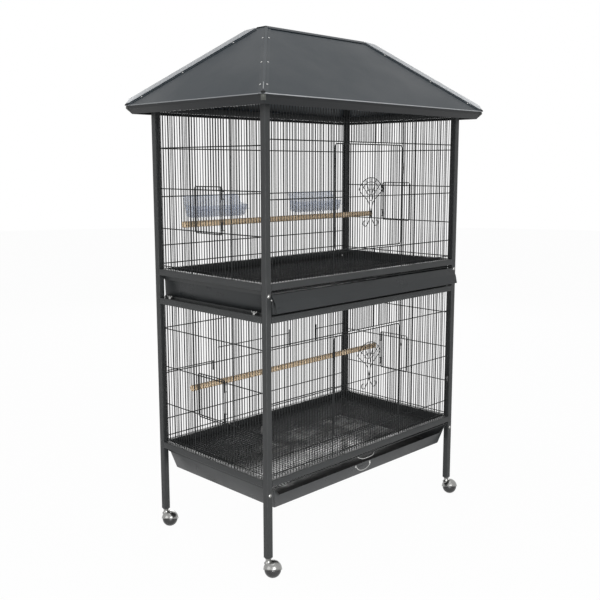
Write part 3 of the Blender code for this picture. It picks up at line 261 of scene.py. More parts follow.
def tube_shape(rings, wrap_rows=False):
    """Surface through rings of points, closed by a flat face at each end unless the rings run in a loop."""
    rows, columns, _ = rings.shape
    faces = [grid_faces(rows, columns, wrap_rows, True)]
    if not wrap_rows:
        ring = np.arange(columns)
        faces.append(np.stack([ring[::-1], ring + (rows - 1) * columns]))
    return rings.reshape(-1, 3), faces


def sheet_shape(rings):
    """Like tube_shape for a thin section: its first half is the outer face and its second half runs back."""
    rows, columns, _ = rings.shape
    half = columns // 2
    step = np.arange(half - 1)
    cap = np.stack([step, step + 1, columns - 2 - step, columns - 1 - step], axis=1)
    faces = [grid_faces(rows, columns, False, True), cap[:, ::-1], cap + (rows - 1) * columns]
    return rings.reshape(-1, 3), faces


def outward(shape):
    """The closed shape with its faces turned out, told by the sign of its volume (sum of a . (b x c) / 6)."""
    points, faces = shape
    volume = 0.0
    for block in faces:
        corners = points[block]
        for k in range(1, block.shape[1] - 1):
            volume += np.einsum("ij,ij->", corners[:, 0], np.cross(corners[:, k], corners[:, k + 1]))
    return (points, [block[:, ::-1] for block in faces]) if volume < 0 else shape


def joined(shapes):
    """Several shapes as one, with the face numbers moved on."""
    points, faces, start = [], [], 0
    for shape_points, shape_faces in shapes:
        points.append(shape_points)
        faces.extend(block + start for block in shape_faces)
        start += len(shape_points)
    return np.concatenate(points), faces


def make_piece(name, shapes, material, body, slot, replaces=(), sharp=35.0):
    """Put shapes into one mesh object that rides on a body, with soft shading up to the sharp angle."""
    points, faces = joined(shapes)
    mesh = bpy.data.meshes.new(name)
    corners = np.concatenate([block.ravel() for block in faces])
    counts = np.concatenate([np.full(len(block), block.shape[1]) for block in faces])
    mesh.vertices.add(len(points))
    mesh.vertices.foreach_set("co", points.astype(np.float32).ravel())
    mesh.loops.add(len(corners))
    mesh.loops.foreach_set("vertex_index", corners.astype(np.int32))
    mesh.polygons.add(len(counts))
    mesh.polygons.foreach_set("loop_start", np.concatenate([[0], np.cumsum(counts)[:-1]]).astype(np.int32))
    mesh.update(calc_edges=True)
    mesh.validate()
    mesh.shade_smooth()
    mesh.set_sharp_from_angle(angle=math.radians(sharp))
    mesh.materials.append(material)
    piece = bpy.data.objects.new(name, mesh)
    bpy.context.scene.collection.objects.link(piece)
    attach(piece, body)
    if replaces:
        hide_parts(*replaces)
    return piece


def circle(radius, count):
    """Points (cos t, sin t) * radius, once round."""
    turn = np.linspace(0, 2 * math.pi, count, endpoint=False)
    return radius * np.stack([np.cos(turn), np.sin(turn)], axis=-1)


def straight_wires(starts, ends, diameter, sides=8):
    """Round bars: place = start or end + cos t * side + sin t * up, with side and up square to the bar."""
    starts, ends = np.broadcast_arrays(np.atleast_2d(np.asarray(starts, float)), np.atleast_2d(ends))
    run = unit(ends - starts)
    helper = np.where(np.abs(run[:, 2:3]) < 0.9, (0.0, 0.0, 1.0), (1.0, 0.0, 0.0))
    side = unit(np.cross(helper, run))
    up = np.cross(run, side)
    ring = circle(diameter / 2, sides)
    ring = ring[None, :, 0:1] * side[:, None] + ring[None, :, 1:2] * up[:, None]
    rings = np.stack([starts[:, None] + ring, ends[:, None] + ring], axis=1)
    _, faces = tube_shape(rings[0])
    shift = (np.arange(len(rings)) * 2 * sides)[:, None, None]
    return rings.reshape(-1, 3), [(block[None] + shift).reshape(-1, block.shape[1]) for block in faces]


def bent_wire(path, diameter, plane_normal, closed=False, sides=8):
    """A round wire: place = path + cos t * across + sin t * second, both square to the path's direction."""
    path = np.asarray(path, float)
    ahead = np.roll(path, -1, 0) - np.roll(path, 1, 0) if closed else np.gradient(path, axis=0)
    ahead = unit(ahead)
    across = unit(np.cross(np.asarray(plane_normal, float), ahead))
    second = np.cross(ahead, across)
    ring = circle(diameter / 2, sides)
    rings = path[:, None] + ring[None, :, 0:1] * across[:, None] + ring[None, :, 1:2] * second[:, None]
    return tube_shape(rings, closed)


def smooth_path(points, steps=6):
    """Catmull-Rom curve: each span is 0.5 * (2b + (c-a)t + (2a-5b+4c-d)t^2 + (3b-a-3c+d)t^3)."""
    p = np.asarray(points, float)
    p = np.vstack([2 * p[0] - p[1], p, 2 * p[-1] - p[-2]])
    t = np.linspace(0, 1, steps, endpoint=False)[None, :, None]
    a, b, c, d = p[:-3, None], p[1:-2, None], p[2:-1, None], p[3:, None]
    curve = 0.5 * (2 * b + (c - a) * t + (2 * a - 5 * b + 4 * c - d) * t**2 + (3 * b - a - 3 * c + d) * t**3)
    return np.vstack([curve.reshape(-1, p.shape[1]), p[-2]])


def softened(points, reach, steps=4, closed=True):
    """Round every corner P with (1-s)^2 A + 2s(1-s) P + s^2 B; A and B lie `reach` before and after it."""
    p = np.asarray(points, float)
    back, ahead = np.roll(p, 1, 0) - p, np.roll(p, -1, 0) - p
    back_length = np.linalg.norm(back, axis=1, keepdims=True)
    ahead_length = np.linalg.norm(ahead, axis=1, keepdims=True)
    a = p + back / back_length * np.minimum(reach, 0.45 * back_length)
    b = p + ahead / ahead_length * np.minimum(reach, 0.45 * ahead_length)
    s = np.linspace(0, 1, steps + 1)[None, :, None]
    curve = (1 - s) ** 2 * a[:, None] + 2 * s * (1 - s) * p[:, None] + s**2 * b[:, None]
    if closed:
        return curve.reshape(-1, p.shape[1])
    return np.vstack([p[:1], curve[1:-1].reshape(-1, p.shape[1]), p[-1:]])


def rounded_rectangle(x0, z0, x1, z1, radius, steps=5):
    """Four quarter circles: place = corner centre + radius * (cos t, sin t)."""
    centres = np.array([(x1 - radius, z0 + radius), (x1 - radius, z1 - radius),
                        (x0 + radius, z1 - radius), (x0 + radius, z0 + radius)])
    turn = np.radians(np.linspace(0, 90, steps + 1)[None] + np.array([-90, 0, 90, 180])[:, None])
    return (centres[:, None] + radius * np.stack([np.cos(turn), np.sin(turn)], -1)).reshape(-1, 2)


def arc(centre, radius, first, last, count):
    """Points centre + radius * (cos t, sin t) with t in degrees."""
    turn = np.radians(np.linspace(first, last, count))
    return np.asarray(centre, float) + radius * np.stack([np.cos(turn), np.sin(turn)], -1)


def at_height(points, z):
    """Flat points (x, y) as (x, y, z) at one height."""
    return np.column_stack([points, np.full(len(points), z)])


def along_run(section, places):
    """A section (y, z) repeated at places along x."""
    return np.stack([np.insert(section, 0, x, axis=1) for x in places])


def lifted(points, y):
    """Flat points (x, z) as (x, y, z) at one depth."""
    return np.stack([points[:, 0], np.full(len(points), y), points[:, 1]], axis=1)


def turned(profile, centre, axis, steps=24, across=None):
    """Revolved profile: centre + h * axis + r * (cos t * across + sin t * side); a pole where r is 0."""
    profile = np.asarray(profile, float)
    axis = unit(np.asarray(axis, float))
    if across is None:
        across = (1.0, 0.0, 0.0) if abs(axis[0]) < 0.9 else (0.0, 1.0, 0.0)
    across = np.asarray(across, float)
    across = unit(across - axis * (across @ axis))
    side = np.cross(axis, across)
    pole_start, pole_end = profile[0, 0] < 1e-9, profile[-1, 0] < 1e-9
    body = profile[int(pole_start):len(profile) - int(pole_end)]
    ring = circle(1.0, steps)
    spokes = ring[:, 0:1] * across + ring[:, 1:2] * side
    rings = np.asarray(centre, float) + body[:, None, 1:2] * axis + body[:, None, 0:1] * spokes[None]
    points, count = rings.reshape(-1, 3), len(body)
    faces = [grid_faces(count, steps, False, True)]
    here, following = np.arange(steps), (np.arange(steps) + 1) % steps
    last = (count - 1) * steps
    for pole, height, base in ((pole_start, profile[0, 1], 0), (pole_end, profile[-1, 1], last)):
        if pole:
            points = np.vstack([points, np.asarray(centre, float) + height * axis])
            tip = np.full(steps, len(points) - 1)
            pair = (following, here) if base == 0 else (here, following)
            faces.append(np.stack([tip, pair[0] + base, pair[1] + base], axis=1))
        else:
            faces.append((here[::-1] if base == 0 else here + base)[None])
    return outward((points, faces))


def bent_sheet(outer, thickness):
    """Section of a bent sheet: the outer line, then the same line moved inward along its normal, run back."""
    ahead = unit(np.gradient(outer, axis=0))
    inner = outer + thickness * np.stack([-ahead[:, 1], ahead[:, 0]], axis=1)
    return np.vstack([outer, inner[::-1]])


# Finishes: effects that several materials share are node groups, built once


def effect_group(name, inputs, outputs):
    """Return an empty shader node group with named sockets, and its input and output nodes."""
    tree = bpy.data.node_groups.new(name, "ShaderNodeTree")
    for label, kind, value in inputs:
        socket = tree.interface.new_socket(name=label, in_out="INPUT", socket_type=kind)
        socket.default_value = value
    for label, kind in outputs:
        tree.interface.new_socket(name=label, in_out="OUTPUT", socket_type=kind)
    return tree, tree.nodes.new("NodeGroupInput"), tree.nodes.new("NodeGroupOutput")


def noise_node(tree, scale, detail, stretch=None):
    """A noise texture on Object coordinates, stretched by a Mapping node where a pattern runs one way."""
    coordinates = tree.nodes.new("ShaderNodeTexCoord").outputs["Object"]
    if stretch is not None:
        mapping = tree.nodes.new("ShaderNodeMapping")
        mapping.inputs["Scale"].default_value = stretch
        tree.links.new(coordinates, mapping.inputs["Vector"])
        coordinates = mapping.outputs["Vector"]
    noise = tree.nodes.new("ShaderNodeTexNoise")
    noise.inputs["Detail"].default_value = detail
    tree.links.new(coordinates, noise.inputs["Vector"])
    if isinstance(scale, (int, float)):
        noise.inputs["Scale"].default_value = scale
    else:
        tree.links.new(scale, noise.inputs["Scale"])
    return noise


def ranged(tree, source, low, high, to_low, to_high):
    """Map a value from one range onto another."""
    node = tree.nodes.new("ShaderNodeMapRange")
    for label, value in (("From Min", low), ("From Max", high)):
        node.inputs[label].default_value = value
    for label, value in (("To Min", to_low), ("To Max", to_high)):
        if isinstance(value, (int, float)):
            node.inputs[label].default_value = value
        else:
            tree.links.new(value, node.inputs[label])
    tree.links.new(source, node.inputs["Value"])
    return node.outputs["Result"]


def maths(tree, first, second, operation="ADD"):
    """Two values put together by one Math node."""
    node = tree.nodes.new("ShaderNodeMath")
    node.operation = operation
    for socket, value in zip(node.inputs, (first, second)):
        if isinstance(value, (int, float)):
            socket.default_value = value
        else:
            tree.links.new(value, socket)
    return node.outputs["Value"]


def mixed(tree, factor, first, second, blend="MIX"):
    """Two colours mixed by a factor."""
    node = tree.nodes.new("ShaderNodeMix")
    node.data_type = "RGBA"
    node.blend_type = blend
    for label, value in (("Factor_Float", factor), ("A_Color", first), ("B_Color", second)):
        socket = next(s for s in node.inputs if s.identifier == label)
        if isinstance(value, (int, float)):
            socket.default_value = value
        elif isinstance(value, tuple):
            socket.default_value = (*value, 1.0)
        else:
            tree.links.new(value, socket)
    return next(s for s in node.outputs if s.identifier == "Result_Color")


def send(tree, target, **values):
    """Link values to a node's inputs by name; an underscore in a name stands for a space."""
    for label, value in values.items():
        tree.links.new(value, target.inputs[label.replace("_", " ")])


def facing_up(tree, power):
    """How far a face looks up: normal z, from 0 on, raised to a power."""
    normal = tree.nodes.new("ShaderNodeSeparateXYZ")
    tree.links.new(tree.nodes.new("ShaderNodeNewGeometry").outputs["Normal"], normal.inputs["Vector"])
    return maths(tree, maths(tree, normal.outputs["Z"], 0.0, "MAXIMUM"), power, "POWER")


def object_place(tree):
    """Object coordinates as separate X, Y and Z."""
    place = tree.nodes.new("ShaderNodeSeparateXYZ")
    tree.links.new(tree.nodes.new("ShaderNodeTexCoord").outputs["Object"], place.inputs["Vector"])
    return place.outputs


def powder_coat_group():
    """Orange peel of a powder coat: fine height, slow change of shade and of gloss."""
    tree, inside, out = effect_group(
        "powder_coat",
        [("Colour", COLOUR, (0.05, 0.05, 0.05, 1)), ("Grain Scale", VALUE, 700.0),
         ("Cloud Scale", VALUE, 7.0), ("Shade Spread", VALUE, 0.12),
         ("Gloss Low", VALUE, 0.36), ("Gloss High", VALUE, 0.50)],
        [("Colour", COLOUR), ("Roughness", VALUE), ("Height", VALUE)],
    )
    grain = noise_node(tree, inside.outputs["Grain Scale"], 2.0).outputs["Fac"]
    cloud = noise_node(tree, inside.outputs["Cloud Scale"], 4.0).outputs["Fac"]
    spread = inside.outputs["Shade Spread"]
    shade = ranged(tree, cloud, 0.3, 0.7, maths(tree, 1.0, spread, "SUBTRACT"), maths(tree, 1.0, spread))
    grey = tree.nodes.new("ShaderNodeCombineColor")
    for label in ("Red", "Green", "Blue"):
        tree.links.new(shade, grey.inputs[label])
    colour = mixed(tree, 1.0, inside.outputs["Colour"], grey.outputs["Color"], "MULTIPLY")
    gloss = ranged(tree, cloud, 0.35, 0.65, inside.outputs["Gloss Low"], inside.outputs["Gloss High"])
    rough = maths(tree, gloss, ranged(tree, grain, 0.3, 0.7, -0.02, 0.02))
    send(tree, out, Colour=colour, Roughness=rough, Height=grain)
    return tree


def dust_and_sheen_group():
    """Pale dust where a face looks up, broken by noise: mask = normal z ^ 3 * noise * amount; on the lower
    tray the amount and colour also carry painted sheen.
    """
    tree, inside, out = effect_group(
        "dust_and_sheen",
        [("Colour", COLOUR, (0.05, 0.05, 0.05, 1)), ("Dust", COLOUR, (0.30, 0.30, 0.29, 1)),
         ("Amount", VALUE, 0.15), ("Roughness", VALUE, 0.4)],
        [("Colour", COLOUR), ("Roughness", VALUE)],
    )
    up = facing_up(tree, 3.0)
    patch = ranged(tree, noise_node(tree, 28.0, 6.0).outputs["Fac"], 0.38, 0.66, 0.15, 1.0)
    mask = maths(tree, maths(tree, up, patch, "MULTIPLY"), inside.outputs["Amount"], "MULTIPLY")
    colour = mixed(tree, mask, inside.outputs["Colour"], inside.outputs["Dust"])
    rough = maths(tree, inside.outputs["Roughness"], maths(tree, mask, 0.45, "MULTIPLY"))
    send(tree, out, Colour=colour, Roughness=rough)
    return tree


def polish_and_painted_shade_group():
    """Gloss and painted shade of what looks up: mask = normal z ^ 8 * noise * place * amount, shade = normal
    z ^ 8 * (1 - place), with place 0 at the front and 1 from the middle on; the shade darkens the floor near
    the front as painted shade, where it lies under the rail.
    """
    tree, inside, out = effect_group(
        "polish_and_painted_shade", [("Amount", VALUE, 1.0)], [("Mask", VALUE), ("Shade", VALUE)],
    )
    up = facing_up(tree, 8.0)
    patch = ranged(tree, noise_node(tree, 5.0, 3.0).outputs["Fac"], 0.35, 0.62, 0.25, 1.0)
    away = ranged(tree, object_place(tree)["Y"], -0.16, -0.02, 0.0, 1.0)
    patch = maths(tree, patch, away, "MULTIPLY")
    mask = maths(tree, maths(tree, up, patch, "MULTIPLY"), inside.outputs["Amount"], "MULTIPLY")
    send(tree, out, Mask=mask, Shade=maths(tree, up, maths(tree, 1.0, away, "SUBTRACT"), "MULTIPLY"))
    return tree


def painted_sheen_patches_group():
    """Painted sheen on a tray floor, pale patches in place of reflections: the greatest of 1 - distance /
    reach over the patches, times noise.
    """
    tree, inside, out = effect_group("painted_sheen_patches", [("Amount", VALUE, 1.0)], [("Mask", VALUE)])
    here = tree.nodes.new("ShaderNodeTexCoord").outputs["Object"]
    mask = 0.0
    for x, y, reach in SHEEN_PATCHES:
        gap = tree.nodes.new("ShaderNodeVectorMath")
        gap.operation = "DISTANCE"
        tree.links.new(here, gap.inputs[0])
        gap.inputs[1].default_value = (x, y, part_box("lower_tray")[0].z)
        mask = maths(tree, mask, ranged(tree, gap.outputs["Value"], 0.0, reach, 1.0, 0.0), "MAXIMUM")
    broken = ranged(tree, noise_node(tree, 16.0, 5.0).outputs["Fac"], 0.35, 0.60, 0.3, 1.0)
    mask = maths(tree, maths(tree, mask, broken, "MULTIPLY"), inside.outputs["Amount"], "MULTIPLY")
    send(tree, out, Mask=mask)
    return tree


def metal_wear_group():
    """Fine marks of bare metal: small changes of shade and gloss, stretched scratches as height."""
    tree, inside, out = effect_group(
        "metal_wear",
        [("Colour", COLOUR, (0.6, 0.6, 0.6, 1)), ("Roughness", VALUE, 0.2),
         ("Spread", VALUE, 0.1)],
        [("Colour", COLOUR), ("Roughness", VALUE), ("Height", VALUE)],
    )
    cloud = noise_node(tree, 60.0, 5.0).outputs["Fac"]
    scratch = noise_node(tree, 900.0, 2.0, (1.0, 1.0, 0.12)).outputs["Fac"]
    tint = ranged(tree, cloud, 0.3, 0.7, 0.0, 0.22)
    colour = mixed(tree, tint, inside.outputs["Colour"], (0.22, 0.22, 0.22))
    low = maths(tree, inside.outputs["Roughness"], inside.outputs["Spread"], "SUBTRACT")
    high = maths(tree, inside.outputs["Roughness"], inside.outputs["Spread"])
    send(tree, out, Colour=colour, Roughness=ranged(tree, cloud, 0.3, 0.7, low, high), Height=scratch)
    return tree


def wood_grain_group():
    """Turned softwood along X: long fibres, darker bands and open pores."""
    tree, inside, out = effect_group(
        "wood_grain",
        [("Pale", COLOUR, (0.4, 0.27, 0.14, 1)), ("Dark", COLOUR, (0.2, 0.12, 0.06, 1))],
        [("Colour", COLOUR), ("Roughness", VALUE), ("Height", VALUE)],
    )
    fibre = noise_node(tree, 1.0, 8.0, (14.0, 420.0, 420.0)).outputs["Fac"]
    band = noise_node(tree, 1.0, 3.0, (3.0, 90.0, 90.0)).outputs["Fac"]
    thin, broad = ranged(tree, fibre, 0.35, 0.7, 0.0, 0.25), ranged(tree, band, 0.38, 0.68, 0.0, 0.35)
    colour = mixed(tree, maths(tree, thin, broad), inside.outputs["Pale"], inside.outputs["Dark"])
    send(tree, out, Colour=colour, Roughness=ranged(tree, fibre, 0.3, 0.7, 0.52, 0.72), Height=fibre)
    return tree


def shared_group(name):
    """Return a shared effect, building it the first time that it is asked for."""
    makers = {
        "powder_coat": powder_coat_group, "dust_and_sheen": dust_and_sheen_group,
        "polish_and_painted_shade": polish_and_painted_shade_group, "painted_sheen_patches": painted_sheen_patches_group,
        "metal_wear": metal_wear_group, "wood_grain": wood_grain_group,
    }
    return bpy.data.node_groups.get(name) or makers[name]()


def new_material(name):
    """Return a material, its tree and its Principled shader."""
    material = bpy.data.materials.new(name)
    material.use_nodes = True
    return material, material.node_tree, material.node_tree.nodes["Principled BSDF"]


def effect(tree, group_name, **values):
    """Place a shared effect in a material and set its inputs; an underscore in a name stands for a space."""
    node = tree.nodes.new("ShaderNodeGroup")
    node.node_tree = shared_group(group_name)
    for label, value in values.items():
        socket = node.inputs[label.replace("_", " ")]
        if isinstance(value, bpy.types.NodeSocket):
            tree.links.new(value, socket)
        else:
            socket.default_value = value
    return node.outputs


def dress(tree, shader, colour, roughness, height, strength, distance):
    """Feed colour and roughness into the shader, and a height through a Bump node into its normal."""
    bump = tree.nodes.new("ShaderNodeBump")
    bump.inputs["Strength"].default_value = strength
    bump.inputs["Distance"].default_value = distance
    send(tree, bump, Height=height)
    send(tree, shader, Base_Color=colour, Roughness=roughness, Normal=bump.outputs["Normal"])


def eave_shade(tree, colour, eave):
    """Painted shade below the eave, and a pale painted highlight line along the fold that fades at the left
    end.
    """
    place = object_place(tree)
    # painted shade: the fascia and return below the eave are darkened
    under = ranged(tree, place["Z"], eave - 0.003, eave - 0.0005, 1.0, 0.0)
    colour = mixed(tree, under, colour, (0.006, 0.007, 0.008))
    # painted highlight: a pale line where the fold catches light, weaker on the left side
    off = maths(tree, maths(tree, place["Z"], eave - 0.0006, "SUBTRACT"), 0.0, "ABSOLUTE")
    inward = ranged(tree, place["X"], -0.517, -0.512, 0.35, 1.0)
    wear_and_highlight = maths(tree, ranged(tree, off, 0.0006, 0.0020, 1.0, 0.0), inward, "MULTIPLY")
    return mixed(tree, wear_and_highlight, colour, (0.42, 0.43, 0.44))


def paint_material(
    name, colour, gloss, grain, dust, bump, specular, cloud=7.0, spread=0.10, polish=0.0, painted_sheen=0.0,
    eave=None,
):
    """Powder coat or sheet paint with dust on what looks up; options add a clear coat with painted shade near
    the front, painted sheen patches on a floor, and painted shade with a painted highlight at an eave.
    """
    if name in bpy.data.materials:
        return bpy.data.materials[name]
    material, tree, shader = new_material(name)
    coat = effect(
        tree, "powder_coat", Colour=(*colour, 1.0), Grain_Scale=grain, Cloud_Scale=cloud, Shade_Spread=spread,
        Gloss_Low=gloss[0], Gloss_High=gloss[1],
    )
    rough, colour = coat["Roughness"], coat["Colour"]
    if polish:
        gloss_and_shade = effect(tree, "polish_and_painted_shade", Amount=polish)
        send(tree, shader, Coat_Weight=gloss_and_shade["Mask"])
        shader.inputs["Coat Roughness"].default_value = 0.14
        shader.inputs["Coat IOR"].default_value = 1.9
        # near the front, under the rail: rougher, and darkened as painted shade
        rough = maths(tree, rough, maths(tree, gloss_and_shade["Shade"], 0.6, "MULTIPLY"))
        colour = mixed(tree, gloss_and_shade["Shade"], colour, (0.004, 0.004, 0.004))
    # painted sheen: the pale patches go in through the dust mix
    if painted_sheen:
        dust = maths(tree, effect(tree, "painted_sheen_patches", Amount=painted_sheen)["Mask"], dust)
    if eave is not None:
        colour = eave_shade(tree, colour, eave)
    # on the lower tray this pale colour is that of the painted sheen, and of its dust
    pale = (0.85, 0.85, 0.83, 1.0) if painted_sheen else (0.30, 0.30, 0.29, 1.0)
    top = effect(tree, "dust_and_sheen", Colour=colour, Dust=pale, Amount=dust, Roughness=rough)
    shader.inputs["Specular IOR Level"].default_value = specular
    dress(tree, shader, top["Colour"], top["Roughness"], coat["Height"], bump, 0.0004)
    return material


def metal_material(name, colour, roughness, spread):
    """Bare or plated metal with faint scratches."""
    if name in bpy.data.materials:
        return bpy.data.materials[name]
    material, tree, shader = new_material(name)
    wear_and_highlight = effect(tree, "metal_wear", Colour=(*colour, 1.0), Roughness=roughness, Spread=spread)
    shader.inputs["Metallic"].default_value = 1.0
    dress(tree, shader, wear_and_highlight["Colour"], wear_and_highlight["Roughness"], wear_and_highlight["Height"], 0.05, 0.0002)
    return material


def frame_paint():
    """Dark powder coat of tubes and wires."""
    colour = bpy.context.scene.cage_colours.frame
    return paint_material(
        "frame_powder_coat", colour, gloss=(0.36, 0.52), grain=900.0, dust=0.10, bump=0.16, specular=0.35,
    )


def shaded_wire_paint():
    """The same coat on bars, rods and cross wires, darker as painted shade, and duller."""
    # painted shade: the frame colour darkened
    colour = tuple(0.65 * part for part in bpy.context.scene.cage_colours.frame)
    return paint_material(
        "shaded_wire_powder_coat", colour, gloss=(0.52, 0.66), grain=900.0, dust=0.0, bump=0.16, specular=0.16,
    )


def roof_paint():
    """Grey paint of the folded roof, with painted shade below the eave and a painted highlight along its
    fold.
    """
    colour = bpy.context.scene.cage_colours.roof
    return paint_material(
        "roof_sheet_paint", colour, gloss=(0.34, 0.46), grain=650.0, dust=0.05, bump=0.10, specular=0.29,
        cloud=3.0, spread=0.05, eave=EAVE_Z,
    )


def tray_paint(tier):
    """Paint of a tray and of the seed guard; the lower one has pale painted sheen patches on its floor."""
    colour = bpy.context.scene.cage_colours.tray
    specular, polish, painted_sheen = {"upper": (0.22, 0.5, 0.0), "lower": (0.35, 1.0, 2.6)}[tier]
    return paint_material(
        tier + "_tray_sheet_paint", colour, gloss=(0.26, 0.40), grain=700.0, dust=0.02, bump=0.05,
        specular=specular, cloud=9.0, spread=0.07, polish=polish, painted_sheen=painted_sheen,
    )


def chrome():
    """Bright plating of hoods and bolts."""
    return metal_material("chrome_plate", (0.31, 0.31, 0.30), roughness=0.24, spread=0.08)


def zinc():
    """Dull plating of screws and wing nuts."""
    return metal_material("zinc_plate", (0.50, 0.50, 0.49), roughness=0.32, spread=0.10)


def seam_highlight_paint():
    """Pale grey on the seam fins along the hips, a painted highlight in place of the light they catch from
    behind.
    """
    return paint_material(
        "seam_fin_painted_highlight", (0.56, 0.57, 0.58), gloss=(0.50, 0.62), grain=700.0, dust=0.0, bump=0.05,
        specular=0.15,
    )


def pull_wire():
    """Bright plating of the lower tray's pull and the lower grate's bail."""
    return metal_material("pull_wire_plate", (0.62, 0.62, 0.61), roughness=0.24, spread=0.06)


def ball_material():
    """Black moulded ball with a fine matt skin."""
    colour = bpy.context.scene.cage_colours.ball
    return paint_material(
        "caster_ball_skin", colour, gloss=(0.28, 0.42), grain=500.0, dust=0.04, bump=0.10, specular=0.5,
        cloud=40.0, spread=0.2,
    )


def perch_wood():
    """Turned wood of the perches."""
    if "perch_wood_grain" in bpy.data.materials:
        return bpy.data.materials["perch_wood_grain"]
    pale = bpy.context.scene.cage_colours.wood
    material, tree, shader = new_material("perch_wood_grain")
    grain = effect(tree, "wood_grain", Pale=(*pale, 1.0), Dark=(*(0.55 * part for part in pale), 1.0))
    shader.inputs["Specular IOR Level"].default_value = 0.3
    dress(tree, shader, grain["Colour"], grain["Roughness"], grain["Height"], 0.25, 0.0005)
    return material


def feeder_plastic():
    """Translucent tinted plastic with a frosted, slightly clouded skin."""
    if "feeder_tinted_plastic" in bpy.data.materials:
        return bpy.data.materials["feeder_tinted_plastic"]
    tint = bpy.context.scene.cage_colours.plastic
    material, tree, shader = new_material("feeder_tinted_plastic")
    coat = effect(
        tree, "powder_coat", Colour=(*tint, 1.0), Grain_Scale=300.0, Cloud_Scale=18.0, Shade_Spread=0.08,
        Gloss_Low=0.18, Gloss_High=0.30,
    )
    shader.inputs["Alpha"].default_value = 0.27
    dress(tree, shader, coat["Colour"], coat["Roughness"], coat["Height"], 0.05, 0.0003)
    return material


def finish_node(node, material):
    """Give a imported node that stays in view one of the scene's finishes."""
    mesh = frame["nodes"][node].data
    mesh.materials.clear()
    mesh.materials.append(material)


def wall_range(tier, side):
    """Heights between a wall's two rails."""
    low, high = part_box("%s_%s_wall" % (tier, side))
    return low.z + TUBE, high.z - TUBE


def post_centre(across, way):
    """Middle of a corner post in plan."""
    return np.array((across * (CAGE_RIGHT - TUBE / 2), way * (CAGE_BACK - TUBE / 2)))


def rail_shapes(side, length, low, high, corner):
    """Square tubes under and over a wall: a rounded square carried along the wall."""
    shapes = []
    for base in (low - TUBE, high):
        square = softened([(0, base), (TUBE, base), (TUBE, base + TUBE), (0, base + TUBE)], corner, 3)
        shapes.append(tube_shape(in_wall(side, along_run(square, (0.0, length)))))
    return shapes


def lip_shape(side, near, far, bottom, top, clear):
    """A flat strip between two depths and two heights, along a wall but for the clear ends."""
    length = FRONT_LENGTH if side == "back" else SIDE_LENGTH
    section = np.array([(near, bottom), (far, bottom), (far, top), (near, top)])
    return outward(tube_shape(in_wall(side, along_run(section, (clear, length - clear)))))


def upright_wires(side, places, bottom, top, diameter, y, sides):
    """Upright wires of a wall at several places along it."""
    places = np.atleast_1d(places)
    foot = np.stack([places, np.full(len(places), y), np.full(len(places), bottom)], axis=1)
    head = foot + (0, 0, top - bottom)
    return straight_wires(in_wall(side, foot), in_wall(side, head), diameter, sides)


def level_wires(side, level, left, right, y, diameter, sides):
    """One level wire of a wall."""
    ends = in_wall(side, [(left, y, level), (right, y, level)])
    return straight_wires(ends[0], ends[1], diameter, sides)


def bars_between(left, right, pitch):
    """Even places of the bars between two rods."""
    count = max(1, round((right - left) / pitch))
    return left + (right - left) * np.arange(1, count) / count


def wall_shapes(side, length, low, high, rods, thin_rods, pitch, opening, levels, cross=None):
    """All wires and both rails of one wall; opening is (left rod, right rod, bottom, top) or None."""
    sizes = bpy.context.scene.cage_sizes
    sides = sizes.wire_sides
    foot, head = low - WIRE_SUNK, high + WIRE_SUNK
    shapes = rail_shapes(side, length, low, high, sizes.tube_corner)
    shapes.append(upright_wires(side, rods, foot, head, sizes.rod, BAR_Y, sides))
    if thin_rods:
        shapes.append(upright_wires(side, thin_rods, foot, head, sizes.cross, BAR_Y, sides))
    stands = sorted([*rods, *thin_rods])
    for left, right in zip(stands, stands[1:]):
        bars = bars_between(left, right, pitch)
        if not len(bars):
            continue
        spans = [(foot, head)]
        if opening and abs(left - opening[0]) < 1e-6:
            spans = [(foot, opening[2]), (opening[3], head)]
        for bottom, top in spans:
            shapes.append(upright_wires(side, bars, bottom, top, sizes.bar, BAR_Y, sides))
    for level in levels:
        runs = [(stands[0], stands[-1])]
        if opening and opening[2] + 1e-4 < level < opening[3] - 1e-4:
            runs = [(stands[0], opening[0]), (opening[1], stands[-1])]
        for left, right in runs:
            shapes.append(level_wires(side, level, left, right, CROSS_Y, cross or sizes.cross, sides))
    return shapes


def knuckle_heights(low, high):
    """Middle heights of a door's two hinge knuckles."""
    return low + 0.18 * (high - low), high - 0.18 * (high - low)


def lug_shapes(side, hinge_x, hinge_y, rod_x, low, high):
    """Fixed hinge barrels over and under each knuckle, each on a short arm from its rod."""
    shapes = []
    for middle in knuckle_heights(low, high):
        for way in (-1, 1):
            near = middle + way * LUG_START
            bottom, top = sorted((near, near + way * LUG_HEIGHT))
            shapes.append(upright_wires(side, hinge_x, bottom, top, HINGE_BARREL, hinge_y, 12))
            level = near + way * LUG_HEIGHT / 2
            arm = in_wall(side, [(rod_x, BAR_Y, level), (hinge_x, hinge_y, level)])
            shapes.append(straight_wires(arm[0], arm[1], HINGE_ARM, 8))
    return shapes


def side_door_range(tier, side):
    """Left, right, bottom and top of a side door."""
    low, _ = wall_range(tier, side)
    return (*SIDE_DOOR, low + SIDE_LEVELS[1] - 0.005, low + SIDE_LEVELS[2] + 0.012)


def front_door_range(tier):
    """Left, right, bottom and top of the opening of a front door."""
    low, _ = wall_range(tier, "front")
    bottom = low + DOOR_SILLS[tier]
    return DOOR_RODS[0], DOOR_RODS[1], bottom, bottom + DOOR_HEIGHT


